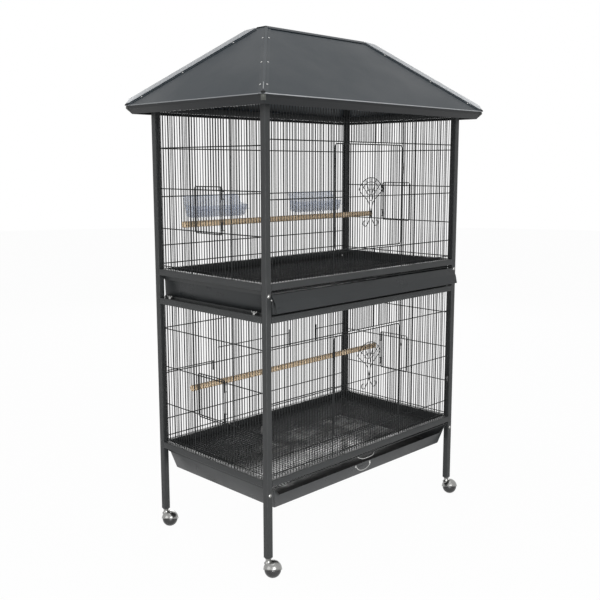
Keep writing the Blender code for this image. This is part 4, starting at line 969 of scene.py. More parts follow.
class CAGE_OT_walls(bpy.types.Operator):
    """Make the eight welded walls: rails, rods, bars, cross wires and fixed hinge barrels"""

    bl_idname = "cage.walls"
    bl_label = "Walls"

    def execute(self, context):
        sizes = context.scene.cage_sizes
        for tier in TIERS:
            self.front_wall(tier, sizes)
            self.back_wall(tier, sizes)
            for side in ("left", "right"):
                self.side_wall(tier, side, sizes)
        return {"FINISHED"}

    def front_wall(self, tier, sizes):
        """A front wall with its door opening."""
        low, high = wall_range(tier, "front")
        left, right, bottom, top = front_door_range(tier)
        rods = [ROD_EDGE, left, right, FRONT_LENGTH - ROD_EDGE]
        opening = (left, right, bottom - BEYOND_DOOR, top + BEYOND_DOOR)
        levels = (low + FOOT_WIRE_LEVEL, opening[2], bottom + DOOR_HEIGHT / 2, opening[3])
        shapes = wall_shapes("front", FRONT_LENGTH, low, high, rods, [], sizes.front_pitch, opening, levels)
        shapes += lug_shapes("front", left + DOOR_INSET, HINGE_Y, left, bottom + DOOR_PLAY, top - DOOR_PLAY)
        self.wall_pieces(tier, "front", shapes)

    def back_wall(self, tier, sizes):
        """A back wall with its tray stop; the lower one has the empty feeder places."""
        low, high = wall_range(tier, "back")
        rods = [ROD_EDGE, *BACK_RODS, FRONT_LENGTH - ROD_EDGE]
        levels = [low + level for level in BACK_LEVELS]
        shapes = wall_shapes(
            "back", FRONT_LENGTH, low, high, rods, [], sizes.front_pitch, None, levels, cross=BACK_CROSS,
        )
        if tier == "lower":
            wire, sides = sizes.cross, sizes.wire_sides
            shapes += [level_wires("back", level, *run, CROSS_Y, wire, sides) for *run, level in GATE_LEVELS]
            shapes += [upright_wires("back", *stand, wire, CROSS_Y, sides) for stand in GATE_STANDS]
        under = low - TUBE
        stop = lip_shape(
            "back", near=0.0006, far=0.0020, bottom=under - STOP_LIP, top=under + LIP_LAP, clear=0.002,
        )
        self.wall_pieces(tier, "back", shapes, [stop])

    def side_wall(self, tier, side, sizes):
        """A side wall with its small door opening; the lower ones guide the tray above them."""
        low, high = wall_range(tier, side)
        rods = [ROD_EDGE, *SIDE_RODS, SIDE_LENGTH - ROD_EDGE]
        levels = [low + level for level in SIDE_LEVELS]
        opening = (*SIDE_DOOR_POSTS, levels[1] + BEYOND_DOOR, levels[2] - BEYOND_DOOR)
        shapes = wall_shapes(
            side, SIDE_LENGTH, low, high, rods, SIDE_DOOR_POSTS, sizes.side_pitch, opening, levels,
        )
        _, hinge_x, bottom, top = side_door_range(tier, side)
        shapes += lug_shapes(side, hinge_x, SIDE_HINGE_Y, SIDE_DOOR_POSTS[1], bottom, top)
        lips = []
        if tier == "lower":
            over = high + TUBE
            lips = [lip_shape(
                side, near=TUBE - 0.0016, far=TUBE - 0.0002, bottom=over - LIP_LAP, top=over + GUIDE_LIP,
                clear=0.004,
            )]
        self.wall_pieces(tier, side, shapes, lips)

    def wall_pieces(self, tier, side, shapes, lips=()):
        """Two pieces of one wall: its rails, which come first in the shapes, and its wires."""
        name = "%s_%s_" % (tier, side)
        make_piece(name + "rails", [*shapes[:2], *lips], frame_paint(), "cage", "frame_paint")
        make_piece(name + "grille", shapes[2:], shaded_wire_paint(), "cage", "frame_paint", [name + "wall"])


def door_shapes(side, left, right, low, high, y, pitch, radius, border, sizes):
    """A wire door: a rounded wire border with upright bars in it."""
    inset = border / 2
    outline = rounded_rectangle(left + inset, low + inset, right - inset, high - inset, radius)
    outline = in_wall(side, lifted(outline, y))
    normal = in_wall(side, [(0, 1, 0)])[0] - in_wall(side, [(0, 0, 0)])[0]
    bars = bars_between(left + inset, right - inset, pitch)
    return [
        bent_wire(outline, border, normal, closed=True, sides=10),
        upright_wires(side, bars, low + inset, high - inset, sizes.bar, y, sizes.wire_sides),
    ]


def knuckle_shapes(side, hinge_x, hinge_y, border_x, border_y, low, high):
    """The door's hinge barrels, each on two short tabs from its border."""
    shapes = []
    for middle in knuckle_heights(low, high):
        bottom, top = middle - KNUCKLE_HALF, middle + KNUCKLE_HALF
        shapes.append(upright_wires(side, hinge_x, bottom, top, HINGE_BARREL, hinge_y, 12))
        for level in (middle - KNUCKLE_HALF / 2, middle + KNUCKLE_HALF / 2):
            tab = in_wall(side, [(hinge_x, hinge_y, level), (border_x, border_y, level)])
            shapes.append(straight_wires(tab[0], tab[1], HINGE_ARM, 8))
    return shapes


class CAGE_OT_front_doors(bpy.types.Operator):
    """Make the two front doors with their middle wire and hinge knuckles"""

    bl_idname = "cage.front_doors"
    bl_label = "Front doors"

    def execute(self, context):
        sizes = context.scene.cage_sizes
        for tier in TIERS:
            left, right, bottom, top = front_door_range(tier)
            left, right = left + DOOR_INSET, right - DOOR_INSET
            low, high = bottom + DOOR_PLAY, top - DOOR_PLAY
            shapes = door_shapes(
                "front", left, right, low, high, BAR_Y, sizes.front_pitch, 0.010, DOOR_BORDER, sizes,
            )
            middle = bottom + DOOR_HEIGHT / 2
            shapes.append(level_wires("front", middle, left + 0.001, right - 0.001, MIDDLE_WIRE_Y, 0.0026, 8))
            shapes += knuckle_shapes("front", left, HINGE_Y, left + 0.002, BAR_Y, low, high)
            name = tier + "_front_door"
            make_piece(name + "_wires", shapes, shaded_wire_paint(), name, "frame_paint", [name])
        return {"FINISHED"}


class CAGE_OT_side_doors(bpy.types.Operator):
    """Make the four small side doors, each with a double bar at its hinge"""

    bl_idname = "cage.side_doors"
    bl_label = "Side doors"

    def execute(self, context):
        sizes = context.scene.cage_sizes
        for tier in TIERS:
            for side in ("left", "right"):
                left, right, bottom, top = side_door_range(tier, side)
                shapes = door_shapes(
                    side, left, right, bottom, top, SIDE_DOOR_Y, sizes.side_pitch, 0.008, SIDE_DOOR_BORDER,
                    sizes,
                )
                shapes.append(upright_wires(
                    side, right - HINGE_BAR_INSET, bottom + 0.002, top - 0.002, HINGE_BAR, SIDE_DOOR_Y, 10,
                ))
                shapes += knuckle_shapes(side, right, SIDE_HINGE_Y, right - 0.0015, SIDE_DOOR_Y, bottom, top)
                name = "%s_%s_door" % (tier, side)
                make_piece(name + "_wires", shapes, shaded_wire_paint(), name, "frame_paint", [name])
        return {"FINISHED"}


class CAGE_OT_ornaments(bpy.types.Operator):
    """Make the fan-shaped wire ornament of each front door"""

    bl_idname = "cage.ornaments"
    bl_label = "Door ornaments"

    def execute(self, context):
        middle = (DOOR_RODS[0] + DOOR_RODS[1]) / 2
        for tier in TIERS:
            _, _, bottom, _ = front_door_range(tier)
            hub = np.array((middle, bottom + FAN_TOPS[tier] - 0.0636))

            def flat_wire(line, wire, closed=False):
                return bent_wire(in_wall("front", lifted(line, FAN_Y)), wire, (0, 1, 0), closed)

            shapes = []
            for reach, half, wire in ((FAN_RADIUS, 66, 0.0024), (0.0490, 60, 0.0019), (0.0265, 60, 0.0019)):
                shapes.append(flat_wire(arc(hub, reach, 90 - half, 90 + half, 25), wire))
            turn = np.radians(90 + np.linspace(-48, 48, 5))
            ray = np.stack([np.cos(turn), np.zeros(5), np.sin(turn)], axis=1)
            near, far = (
                in_wall("front", lifted(hub[None], FAN_Y) + reach * ray) for reach in (FAN_HUB, FAN_RADIUS)
            )
            shapes.append(straight_wires(near, far, 0.0019, 8))
            shapes.append(flat_wire(arc(hub, FAN_HUB, 0, 360, 21)[:-1], 0.0022, True))
            scroll = np.array([
                (0.0568, 0.0254), (0.0440, 0.0130), (0.0260, 0.0000), (0.0100, -0.0160), (0.0030, -0.0380),
                (-0.0020, -0.0600), (-0.0100, -0.0740), (-0.0200, -0.0868), (-0.0300, -0.0880),
                (-0.0362, -0.0810), (-0.0335, -0.0725), (-0.0255, -0.0720),
            ])
            for way in (-1, 1):
                shapes.append(flat_wire(smooth_path(scroll * (way, 1), 5) + hub, 0.0023))
            make_piece(
                tier + "_ornament_wires", shapes, shaded_wire_paint(), tier + "_front_door", "frame_paint",
                [tier + "_door_fan"],
            )
        return {"FINISHED"}


def plate_shape(outline, thickness, place, soften=0.0006):
    """A flat plate with eased edges: the outline at both faces and, pulled out a little, between them."""
    centre = outline.mean(axis=0)
    eased = centre + (outline - centre) * (1 - soften / np.abs(outline - centre).max())
    depth = thickness / 2
    layers = [(eased, -depth), (outline, -depth + soften), (outline, depth - soften), (eased, depth)]
    return outward(tube_shape(np.stack([place(points, y) for points, y in layers])))


class CAGE_OT_latches(bpy.types.Operator):
    """Make the turn latches on the free edge of the front doors"""

    bl_idname = "cage.latches"
    bl_label = "Door latches"

    def execute(self, context):
        steel = metal_material("latch_dark_steel", (0.07, 0.07, 0.07), roughness=0.45, spread=0.08)
        outline = softened([
            (-0.0035, -0.018), (0.0062, -0.018), (0.0062, -0.006), (0.009, -0.0045), (0.009, 0.0045),
            (0.0062, 0.006), (0.0062, 0.018), (-0.0035, 0.018),
        ], 0.0022, 4)
        knob = [(0, 0.0042), (0.0018, 0.0041), (0.0028, 0.0034), (0.0031, 0.0026), (0.0031, 0.0), (0, 0.0)]
        for tier in TIERS:
            _, right, bottom, _ = front_door_range(tier)
            pivot = np.array((right - DOOR_INSET - 0.00225, LATCH_Y, bottom + LATCH_LEVEL))

            def place(points, y):
                return in_wall("front", lifted(points, y) + pivot)

            shapes = [plate_shape(outline, 0.0018, place, 0.0004)]
            shapes.append(turned(knob, in_wall("front", pivot[None])[0], (0, -1, 0), 16))
            for end in (-0.013, 0.013):
                grip = arc((0, end), 0.0026, 0, 360, 17)[:-1]
                shapes.append(bent_wire(place(grip, -0.0012), 0.0014, (0, 1, 0), True))
            make_piece(
                tier + "_latch_plate", shapes, steel, tier + "_latch", "latch_steel", [tier + "_door_latch"],
            )
        return {"FINISHED"}


class CAGE_OT_posts(bpy.types.Operator):
    """Make the four corner tubes and their bolt heads"""

    bl_idname = "cage.posts"
    bl_label = "Corner posts"

    def execute(self, context):
        half, rounding = TUBE / 2, context.scene.cage_sizes.tube_corner
        square = softened([(-half, -half), (half, -half), (half, half), (-half, half)], rounding, 4)
        dome = [(0, 0.0034), (0.0024, 0.0031), (0.0042, 0.0021), (0.0052, 0.0007), (0.0058, 0.0006),
                (0.0058, -0.0006), (0, -0.0006)]
        levels = [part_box(tier + "_front_wall")[0].z - BOLT_DROPS[tier] for tier in TIERS]
        for corner, across, way in CORNERS:
            name = corner + "_post"
            low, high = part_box(name)
            centre = post_centre(across, way)
            outline = square + centre
            eased = centre + (outline - centre) * 0.94
            layers = ((eased, low.z), (outline, low.z + 0.0008), (outline, high.z))
            tube = tube_shape(np.stack([at_height(points, z) for points, z in layers]))
            make_piece(name + "_tube", [tube], frame_paint(), "cage", "frame_paint", [name])
            heads = [turned(dome, (centre[0], way * CAGE_BACK, level), (0, way, 0), 20) for level in levels]
            make_piece(name + "_bolts", heads, chrome(), "cage", "chrome")
        return {"FINISHED"}


class CAGE_OT_roof(bpy.types.Operator):
    """Make the roof sheets, hip and ridge caps, with the ribs, fins, screws, plugs and eave clips"""

    bl_idname = "cage.roof"
    bl_label = "Roof"

    def execute(self, context):
        sizes = context.scene.cage_sizes
        front_run = -EAVE_FRONT - RIDGE_FLAT / 2
        side_run = -EAVE_LEFT - RIDGE_LENGTH / 2
        long = (-EAVE_LEFT, -EAVE_FRONT, front_run, side_run / front_run)
        short = (-EAVE_FRONT, -EAVE_LEFT, side_run, front_run / side_run)
        for name, turn, (half_eave, reach, run, rate) in (
            ("front", 0, long), ("back", 180, long), ("right", 90, short), ("left", -90, short),
        ):
            line = softened([
                (run - SEAM, EAVE_Z + ROOF_RISE * (1 - SEAM / run)), (0.0, EAVE_Z),
                (0.0, EAVE_Z - FASCIA_DROP), (RETURN_IN, EAVE_Z - FASCIA_DROP - RETURN_DROP),
            ], np.array([[0], [sizes.fold], [sizes.fold / 2], [0]]), 5, closed=False)
            section = bent_sheet(line, ROOF_SHEET)
            along = half_eave - section[:, 0] * rate - SEAM
            cosine, sine = math.cos(math.radians(turn)), math.sin(math.radians(turn))
            spin = np.array([(cosine, -sine, 0), (sine, cosine, 0), (0, 0, 1)])
            rings = np.stack([
                np.stack([way * along, section[:, 0] - reach, section[:, 1]], axis=1) @ spin.T
                for way in (-1, -0.5, 0, 0.5, 1)
            ])
            make_piece(
                name + "_roof_panel", [outward(sheet_shape(rings))], roof_paint(), "cage", "roof_paint",
                [name + "_roof_sheet"],
            )
        self.hips(sizes, front_run, side_run)
        self.ridge_cap(front_run)
        return {"FINISHED"}

    def hips(self, sizes, front_run, side_run):
        """Folded strips over the hips, each with its rib, seam fin, screws, foot plug and eave clip."""
        screws, clips, fins, ribs, plugs = [], [], [], [], []
        screw = sizes.screw
        head = [(0, 0.0019), (screw * 0.6, 0.0016), (screw, 0.0006), (screw, -0.0004), (0, -0.0004)]
        plug = [(0, 0.0038), (0.0030, 0.0036), (0.0054, 0.0024), (0.0064, 0.0006), (0.0064, -0.0010),
                (0, -0.0010)]
        for corner, across, way in CORNERS:
            bottom = np.array((-across * EAVE_LEFT, -way * EAVE_FRONT, EAVE_Z))
            top = np.array((across * RIDGE_LENGTH / 2, way * RIDGE_FLAT / 2, EAVE_Z + ROOF_RISE))
            along = unit(top - bottom)
            normals = unit(np.array([(0, way * ROOF_RISE, front_run), (across * ROOF_RISE, 0, side_run)]))
            flanges = np.cross(along, normals)
            flanges *= np.where(np.einsum("ij,j->i", flanges, (across, way, 0)) > 0, -1, 1)[:, None]
            bisector = normals.sum(axis=0)
            bisector = bisector / (bisector @ normals[0])
            start, end = bottom + along * HIP_FLANGE * 0.35, top - along * HIP_FLANGE * 0.2

            section = []
            for lift, order in ((SEAM + ROOF_SHEET, 1), (SEAM, -1)):
                edges = flanges * HIP_FLANGE + normals * lift
                line = softened([edges[0], bisector * lift, edges[1]], 0.0030, 5, closed=False)
                section.append(line[::order])
            section = np.vstack(section)
            name = corner + "_hip_cap"
            cap = outward(sheet_shape(np.stack([start + section, end + section])))
            make_piece(name + "_fold", [cap], roof_paint(), "cage", "roof_paint", [name])

            aside = unit(flanges[0] - flanges[1]) * SEAM_FIN[0] / 2
            rings = []
            # the pale fins paint a highlight along the hips; the near hip has only a short stub
            for share, height in FIN_STUB if corner == "front_left" else FIN_COURSE:
                foot, crest = bisector * -0.0006, unit(bisector) * SEAM_FIN[1] * height
                fin = np.stack([foot - aside, foot + aside, crest + aside, crest - aside])
                rings.append(start + share * (end - start) + fin)
            fins.append(outward(tube_shape(np.stack(rings))))
            foot, crown = (flanges * reach + normals * SEAM for reach in RIB_REACHES)
            rib = np.stack([foot[0], crown[0] + bisector * RIB_RISE, crown[1] + bisector * RIB_RISE, foot[1]])
            ribs.append(outward(tube_shape(np.stack([start + rib, end + rib]))))
            for share in HIP_SCREWS:
                for flange, normal in zip(flanges, normals):
                    seat = bottom + share * (top - bottom) + flange * HIP_SCREW_REACH
                    screws.append(turned(head, seat + normal * (SEAM + ROOF_SHEET), normal, 14))
            clips.append(self.eave_clip(across, way))
            plugs.append(turned(plug, bottom + along * 0.003 + bisector * 0.0008, unit(bisector), 20))
        make_piece("hip_screws", screws, zinc(), "cage", "zinc")
        make_piece("hip_seam_fins", fins, seam_highlight_paint(), "cage", "zinc")
        make_piece("hip_ribs", ribs, roof_paint(), "cage", "roof_paint")
        make_piece("hip_foot_plugs", plugs, shaded_wire_paint(), "cage", "frame_paint")
        dull = metal_material("clip_dull_metal", (0.10, 0.105, 0.095), roughness=0.5, spread=0.10)
        make_piece("eave_clips", clips, dull, "cage", "zinc")

    def eave_clip(self, across, way):
        """A small bent plate over an eave corner, across the fascia and down to the return's edge."""
        corner = np.array((-across * EAVE_LEFT, -way * EAVE_FRONT))
        line = softened([(-0.0085, 0.0011), (0.0011, 0.0011), (0.0011, -0.0085)], 0.002, 4, closed=False)
        section = bent_sheet(line, -0.0010)
        return outward(sheet_shape(np.stack([
            at_height((section - inset) * (across, way) + corner, EAVE_Z - drop)
            for drop, inset in ((0.004, 0.0), (FASCIA_DROP, 0.0), (FASCIA_DROP + 0.008, 0.0061))
        ])))

    def ridge_cap(self, front_run):
        """Flat ridge strip whose lips lie on the front and back sheets."""
        slope = math.atan2(ROOF_RISE, front_run)
        half = RIDGE_FLAT / 2
        top = EAVE_Z + ROOF_RISE + (2 * SEAM + 2 * ROOF_SHEET) / math.cos(slope)
        out, down = RIDGE_LIP * math.cos(slope), RIDGE_LIP * math.sin(slope)
        line = softened([
            (half + out, top - down), (half, top), (-half, top), (-half - out, top - down),
        ], 0.0030, 5, closed=False)
        cap = sheet_shape(along_run(bent_sheet(line, ROOF_SHEET), (-RIDGE_LENGTH / 2, 0.0, RIDGE_LENGTH / 2)))
        make_piece("ridge_cap_fold", [outward(cap)], roof_paint(), "cage", "roof_paint", ["ridge_cap"])


def pan_shape(half_x, half_y, centre, top, depth, taper, sheet, flange, corner, rim_share, fold):
    """An open folded pan: rings of a rounded rectangle carried over the pan's section, outside then inside.

    place = centre + (x * (1 - a / half x), y * (1 - b / half y)), with a and b the section's insets; a ring's
    height on the wall is its share times rim_share, which may differ round the rim.
    """
    outline = rounded_rectangle(-half_x, -half_y, half_x, half_y, corner, 6)
    extra = np.array([half_x - corner - 0.004, half_x - corner - 0.018])
    row = np.stack([np.concatenate([-extra, extra[::-1]]), np.full(4, -half_y)], axis=1)
    outline = np.vstack([outline, row])
    share = rim_share(outline[:, 0] / half_x, outline[:, 1] / half_y)
    y_taper = np.where(outline[:, 1] < 0, taper, taper if flange else 0.0)
    rings = [(0.030, 0.0, 0.0), (fold, 0.0, 0.0), (fold * 0.3, fold * 0.3, 0.0), (0.0, fold, 0.0),
             (0.0, depth, 0.0)]
    if flange:
        rings += [(-flange, depth - sheet, 1.0), (-flange, depth, 1.0)]
    rings += [(sheet * 0.5, depth, 0.0), (sheet, depth - sheet * 0.5, 0.0), (sheet, fold, 0.0),
              (sheet + fold * 0.3, sheet + fold * 0.3, 0.0), (sheet + fold, sheet, 0.0), (0.030, sheet, 0.0)]
    layers = []
    for inset, height, side_only in rings:
        level = height / depth
        raised = level * share if level > 0.5 else np.full(len(outline), level)
        inset_x = inset + taper * (1 - raised)
        inset_y = (0.0 if side_only else inset) + y_taper * (1 - raised)
        layers.append(np.stack([
            centre[0] + outline[:, 0] * (1 - inset_x / half_x),
            centre[1] + outline[:, 1] * (1 - inset_y / half_y), top - depth + depth * raised,
        ], axis=1))
    return outward(tube_shape(np.stack(layers)))


class CAGE_OT_trays(bpy.types.Operator):
    """Make the two slide-out trays, the seed guard on the upper one and the wire pull on the lower one"""

    bl_idname = "cage.trays"
    bl_label = "Trays"

    def execute(self, context):
        sizes = context.scene.cage_sizes
        for tier, taper, cut, deeper in (("upper", 0.001, 0.0, 0.0058), ("lower", 0.018, 0.024, 0.0)):
            low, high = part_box(tier + "_tray")
            half_x, half_y = high.x - RIM_FLANGE, (high.y - low.y) / 2
            depth = high.z - low.z + deeper

            def rim_share(u, v, cut=cut, depth=depth):
                slant = np.clip((0.985 - np.abs(u)) / 0.03, 0, 1)
                return 1 - cut / depth * slant * (v < -0.99)

            centre = (0.0, (low.y + high.y) / 2)
            pan = pan_shape(
                half_x, half_y, centre, high.z, depth, taper, sheet=0.0011, flange=RIM_FLANGE, corner=0.004,
                rim_share=rim_share, fold=0.0028,
            )
            name = tier + "_tray"
            make_piece(name + "_pan", [pan], tray_paint(tier), name, "tray_paint", [name])
        self.seed_guard(sizes)
        self.pull()
        return {"FINISHED"}

    def seed_guard(self, sizes):
        """Folded guard: back strip, two slopes and a hemmed foot, carried along the tray's front."""
        low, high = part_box("seed_guard")
        tray_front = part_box("upper_tray")[0].y - SEAM
        fold = (CAGE_FRONT - 0.016, high.z - 0.0235)
        foot = (low.y + 0.0003, low.z + 0.0010)
        line = softened([
            foot, fold, (CAGE_FRONT, high.z), (tray_front, high.z), (tray_front, high.z - 0.022),
        ], sizes.fold, 5, closed=False)
        section = bent_sheet(line, -0.0012)
        shapes = [outward(sheet_shape(along_run(section, (low.x, 0.0, high.x))))]
        hem_y = foot[0] + 0.0009
        shapes.append(straight_wires((low.x, hem_y, foot[1]), (high.x, hem_y, foot[1]), 0.0020))
        make_piece("seed_guard_fold", shapes, tray_paint("upper"), "upper_tray", "tray_paint", ["seed_guard"])
        head = [(0, 0.0022), (0.0022, 0.0019), (0.0036, 0.0006), (0.0036, -0.0006), (0, -0.0006)]
        rivets = [
            turned(head, (x, tray_front - 0.0004, high.z - 0.017), (0, -1, 0), 16)
            for x in (low.x + 0.006, high.x - 0.006)
        ]
        make_piece("seed_guard_rivets", rivets, zinc(), "upper_tray", "zinc")

    def pull(self):
        """Drooping wire pull of the lower tray with its two eyes."""
        low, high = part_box("lower_tray_handle")
        half = (high.x - low.x) / 2 - 0.0016
        middle = (high.x + low.x) / 2
        y, top, droop = low.y + 0.0016, high.z - 0.0016, high.z - low.z - 0.0032
        seat = high.y
        left = np.array([
            (-half, seat, top), (-half, (seat + y) / 2, top), (-half * 0.97, y, top - droop * 0.10),
            (-half * 0.78, y, top - droop * 0.52), (-half * 0.42, y, top - droop * 0.85),
        ])
        right = left[::-1] * (-1, 1, 1)
        path = smooth_path(np.vstack([left, (0, y, top - droop * 0.95), right]), 5) + (middle, 0, 0)
        wire = pull_wire()
        shapes = [bent_wire(path, 0.0024, (0, 1, 0.2), sides=10)]
        name = "lower_tray_handle"
        make_piece("lower_tray_pull", shapes, wire, name, "handle_wire", [name], sharp=60.0)
        eye = [(0, 0.0012), (0.0024, 0.0011), (0.0036, 0.0004), (0.0036, -0.0010), (0, -0.0010)]
        eyes = [turned(eye, (middle + way * half, seat + 0.0004, top), (0, -1, 0), 16) for way in (-1, 1)]
        make_piece("lower_tray_pull_eyes", eyes, wire, "lower_tray", "handle_wire")


class CAGE_OT_grates(bpy.types.Operator):
    """Make the two floor grates, each with its wire bail, and finish the runners that carry them"""

    bl_idname = "cage.grates"
    bl_label = "Floor grates"

    def execute(self, context):
        sizes = context.scene.cage_sizes
        bails = {"upper": (-0.0115, 0.049, 0.0), "lower": (-0.025, 0.076, 0.008)}
        border = 0.0026
        for tier in TIERS:
            low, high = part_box(tier + "_grate")
            bottom, top = high.z - 0.0030, high.z
            front, back = CAGE_FRONT + 0.0003, high.y
            outline = rounded_rectangle(
                low.x + border / 2, front + border / 2, high.x - border / 2, back - border / 2, 0.004,
            )
            shapes = [bent_wire(at_height(outline, bottom + border / 2), border, (0, 0, 1), True)]
            bars = bars_between(low.x + border, high.x - border, sizes.grate_pitch)
            near, far = (at_height(np.insert(bars[:, None], 1, y, axis=1), top - 0.0011)
                         for y in (front + 0.001, back - 0.001))
            shapes.append(straight_wires(near, far, sizes.bar, 6))
            across = bars_between(front, back, 0.085)
            near, far = (at_height(np.insert(across[:, None], 0, x, axis=1), bottom + 0.0007)
                         for x in (low.x + 0.001, high.x - 0.001))
            shapes.append(straight_wires(near, far, 0.0024, 8))
            # the upper grate takes the darker wire coat, as painted shade on the upper floor
            paint = shaded_wire_paint() if tier == "upper" else frame_paint()
            name = tier + "_grate"
            make_piece(name + "_wires", shapes, paint, name, "frame_paint", [name])

            middle, width, drop = bails[tier]
            half, height, tip = width / 2, (bottom + top) / 2, low.y + 0.0016
            path = smooth_path([
                (-half, front + 0.004, height), (-half, front - 0.003, height - drop * 0.15),
                (-half * 0.72, tip, height - drop * 0.72), (-half * 0.3, tip, height - drop),
                (half * 0.3, tip, height - drop), (half * 0.72, tip, height - drop * 0.72),
                (half, front - 0.003, height - drop * 0.15), (half, front + 0.004, height),
            ], 5) + (middle, 0, 0)
            bail = [bent_wire(path, 0.0021, (0, 0, 1), sides=10)]
            wire, slot = (pull_wire(), "handle_wire") if tier == "lower" else (frame_paint(), "frame_paint")
            make_piece(name + "_bail", bail, wire, name, slot, sharp=60.0)
            for side in ("left", "right"):
                finish_node("%s_%s_runner" % (tier, side), frame_paint())
        return {"FINISHED"}


class CAGE_OT_casters(bpy.types.Operator):
    """Make the four ball casters: chrome hood with its collar, axle caps and the moulded ball"""

    bl_idname = "cage.casters"
    bl_label = "Casters"

    def execute(self, context):
        radius, inner, outer = BALL_RADIUS, HOOD_INSIDE, HOOD_OUTSIDE
        along = unit(np.array((1.0, -1.0, 0.0)))
        axle = unit(np.array((1.0, 1.0, 0.0)))
        rim, lean = math.radians(HOOD_WRAP), math.radians(HOOD_LEAN)
        pole = math.sin(lean) * axle + (0, 0, math.cos(lean))
        bend = np.linspace(0, rim, 15)
        skin, back = (reach * np.stack([np.sin(bend), np.cos(bend)], axis=1) for reach in (outer, inner))
        bead = [(reach * math.sin(rim + past), wide * math.cos(rim + past)) for reach, wide, past in (
            (outer + 0.0006, outer, 0.02), (outer + 0.0003, outer, 0.06), (inner, inner, 0.03),
        )]
        hood = np.vstack([skin, bead, back[::-1]])
        seat = radius + math.sqrt(outer**2 - CASTER_TRAIL**2)
        neck = [
            (0, LEG_FOOT - 0.0004), (0.0096, LEG_FOOT - 0.0004), (0.0102, LEG_FOOT - 0.0010),
            (0.0102, LEG_FOOT - 0.0022), (0.0094, LEG_FOOT - 0.0030), (0.0082, LEG_FOOT - 0.0042),
            (0.0078, (LEG_FOOT + seat) / 2 - 0.002), (0.0092, seat - 0.001), (0.0125, seat - 0.0040),
            (0.0125, seat - 0.0060), (0, seat - 0.0060),
        ]
        cap = [(0, 0.0012), (0.0026, 0.0010), (0.0040, 0.0001), (0.0042, -0.0012), (0, -0.0012)]
        bend = np.linspace(-math.pi / 2, math.pi / 2, 33)
        side_grooves = 0.0004 * np.exp(-(((np.abs(bend) - 0.62) / 0.03) ** 2))
        groove = 0.0007 * np.exp(-((bend / 0.035) ** 2)) + side_grooves
        ball = np.stack([(radius - groove) * np.cos(bend), (radius - groove) * np.sin(bend)], axis=1)
        ball[[0, -1], 0] = 0.0
        for corner, across, way in CORNERS:
            leg = np.append(post_centre(across, way), 0.0)
            centre = leg + along * CASTER_TRAIL + (0, 0, radius)
            shapes = [
                turned(hood, centre, pole, 40), turned(neck, leg, (0, 0, 1), 28),
                turned(cap, centre + axle * outer, axle, 18),
            ]
            name = corner + "_hood"
            make_piece(name + "_shell", shapes, chrome(), name, "chrome", [corner + "_caster_hood"])
            make_piece(
                corner + "_ball_skin", [turned(ball, centre, axle, 40)], ball_material(), corner + "_ball",
                "caster_ball", [corner + "_caster_ball"], sharp=60.0,
            )
        return {"FINISHED"}


class CAGE_OT_wing_nuts(bpy.types.Operator):
    """Make the wing nuts between the two tiers"""

    bl_idname = "cage.wing_nuts"
    bl_label = "Wing nuts"

    def execute(self, context):
        lobe = softened([
            (0.0015, 0.0015), (0.0060, 0.0022), (0.0118, 0.0070), (0.0126, 0.0102), (0.0104, 0.0112),
            (0.0072, 0.0092), (0.0030, 0.0058), (0.0010, 0.0056),
        ], 0.0018, 4)
        hub = [(0, 0.0075), (0.0022, 0.0074), (0.0030, 0.0066), (0.0036, 0.0030), (0.0046, 0.0010),
               (0.0046, 0.0), (0, 0.0)]
        stud = [(0, 0.0102), (0.0016, 0.0100), (0.0019, 0.0094), (0.0019, 0.005), (0, 0.005)]
        dull = metal_material("wing_nut_plate", (0.24, 0.24, 0.235), roughness=0.30, spread=0.12)
        for side in ("left", "right"):
            for end in ("front", "back"):
                name = "%s_%s_wing_nut" % (side, end)
                low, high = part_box(name)
                centre = np.array(((low.x + high.x) / 2, (low.y + high.y) / 2, low.z))
                shapes = [turned(hub, centre, (0, 0, 1), 20), turned(stud, centre, (0, 0, 1), 12)]
                for way in (-1, 1):
                    def place(points, x, way=way):
                        return centre + lifted(points, x)[:, [1, 0, 2]] * (1, way, 1)

                    shapes.append(plate_shape(lobe, 0.0018, place, 0.0005))
                make_piece(name + "_wings", shapes, dull, "cage", "zinc", [name])
        return {"FINISHED"}


class CAGE_OT_perches(bpy.types.Operator):
    """Make the two turned perches"""

    bl_idname = "cage.perches"
    bl_label = "Perches"

    def execute(self, context):
        for tier in TIERS:
            low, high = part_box(tier + "_perch")
            centre = np.array((0, (low.y + high.y) / 2, (low.z + high.z) / 2))
            half, radius = high.x, (high.z - low.z) / 2
            ends = [(0, 0), (radius - 0.0012, 0), (radius - 0.0003, 0.0005), (radius, 0.0016)]
            along = np.linspace(0.02, 2 * half - 0.02, 24)
            uneven = 0.00025 * (1 + np.sin(along * 31.0) * np.cos(along * 9.0))
            body = np.stack([radius - uneven, along], axis=1)
            profile = np.vstack([ends, body, [(r, 2 * half - h) for r, h in ends[::-1]]])
            rod = turned(profile, centre - (half, 0, 0), (1, 0, 0), 32, (0, 0, 1))
            make_piece(tier + "_perch_rod", [rod], perch_wood(), "cage", "perch_wood", [tier + "_perch"])
        return {"FINISHED"}


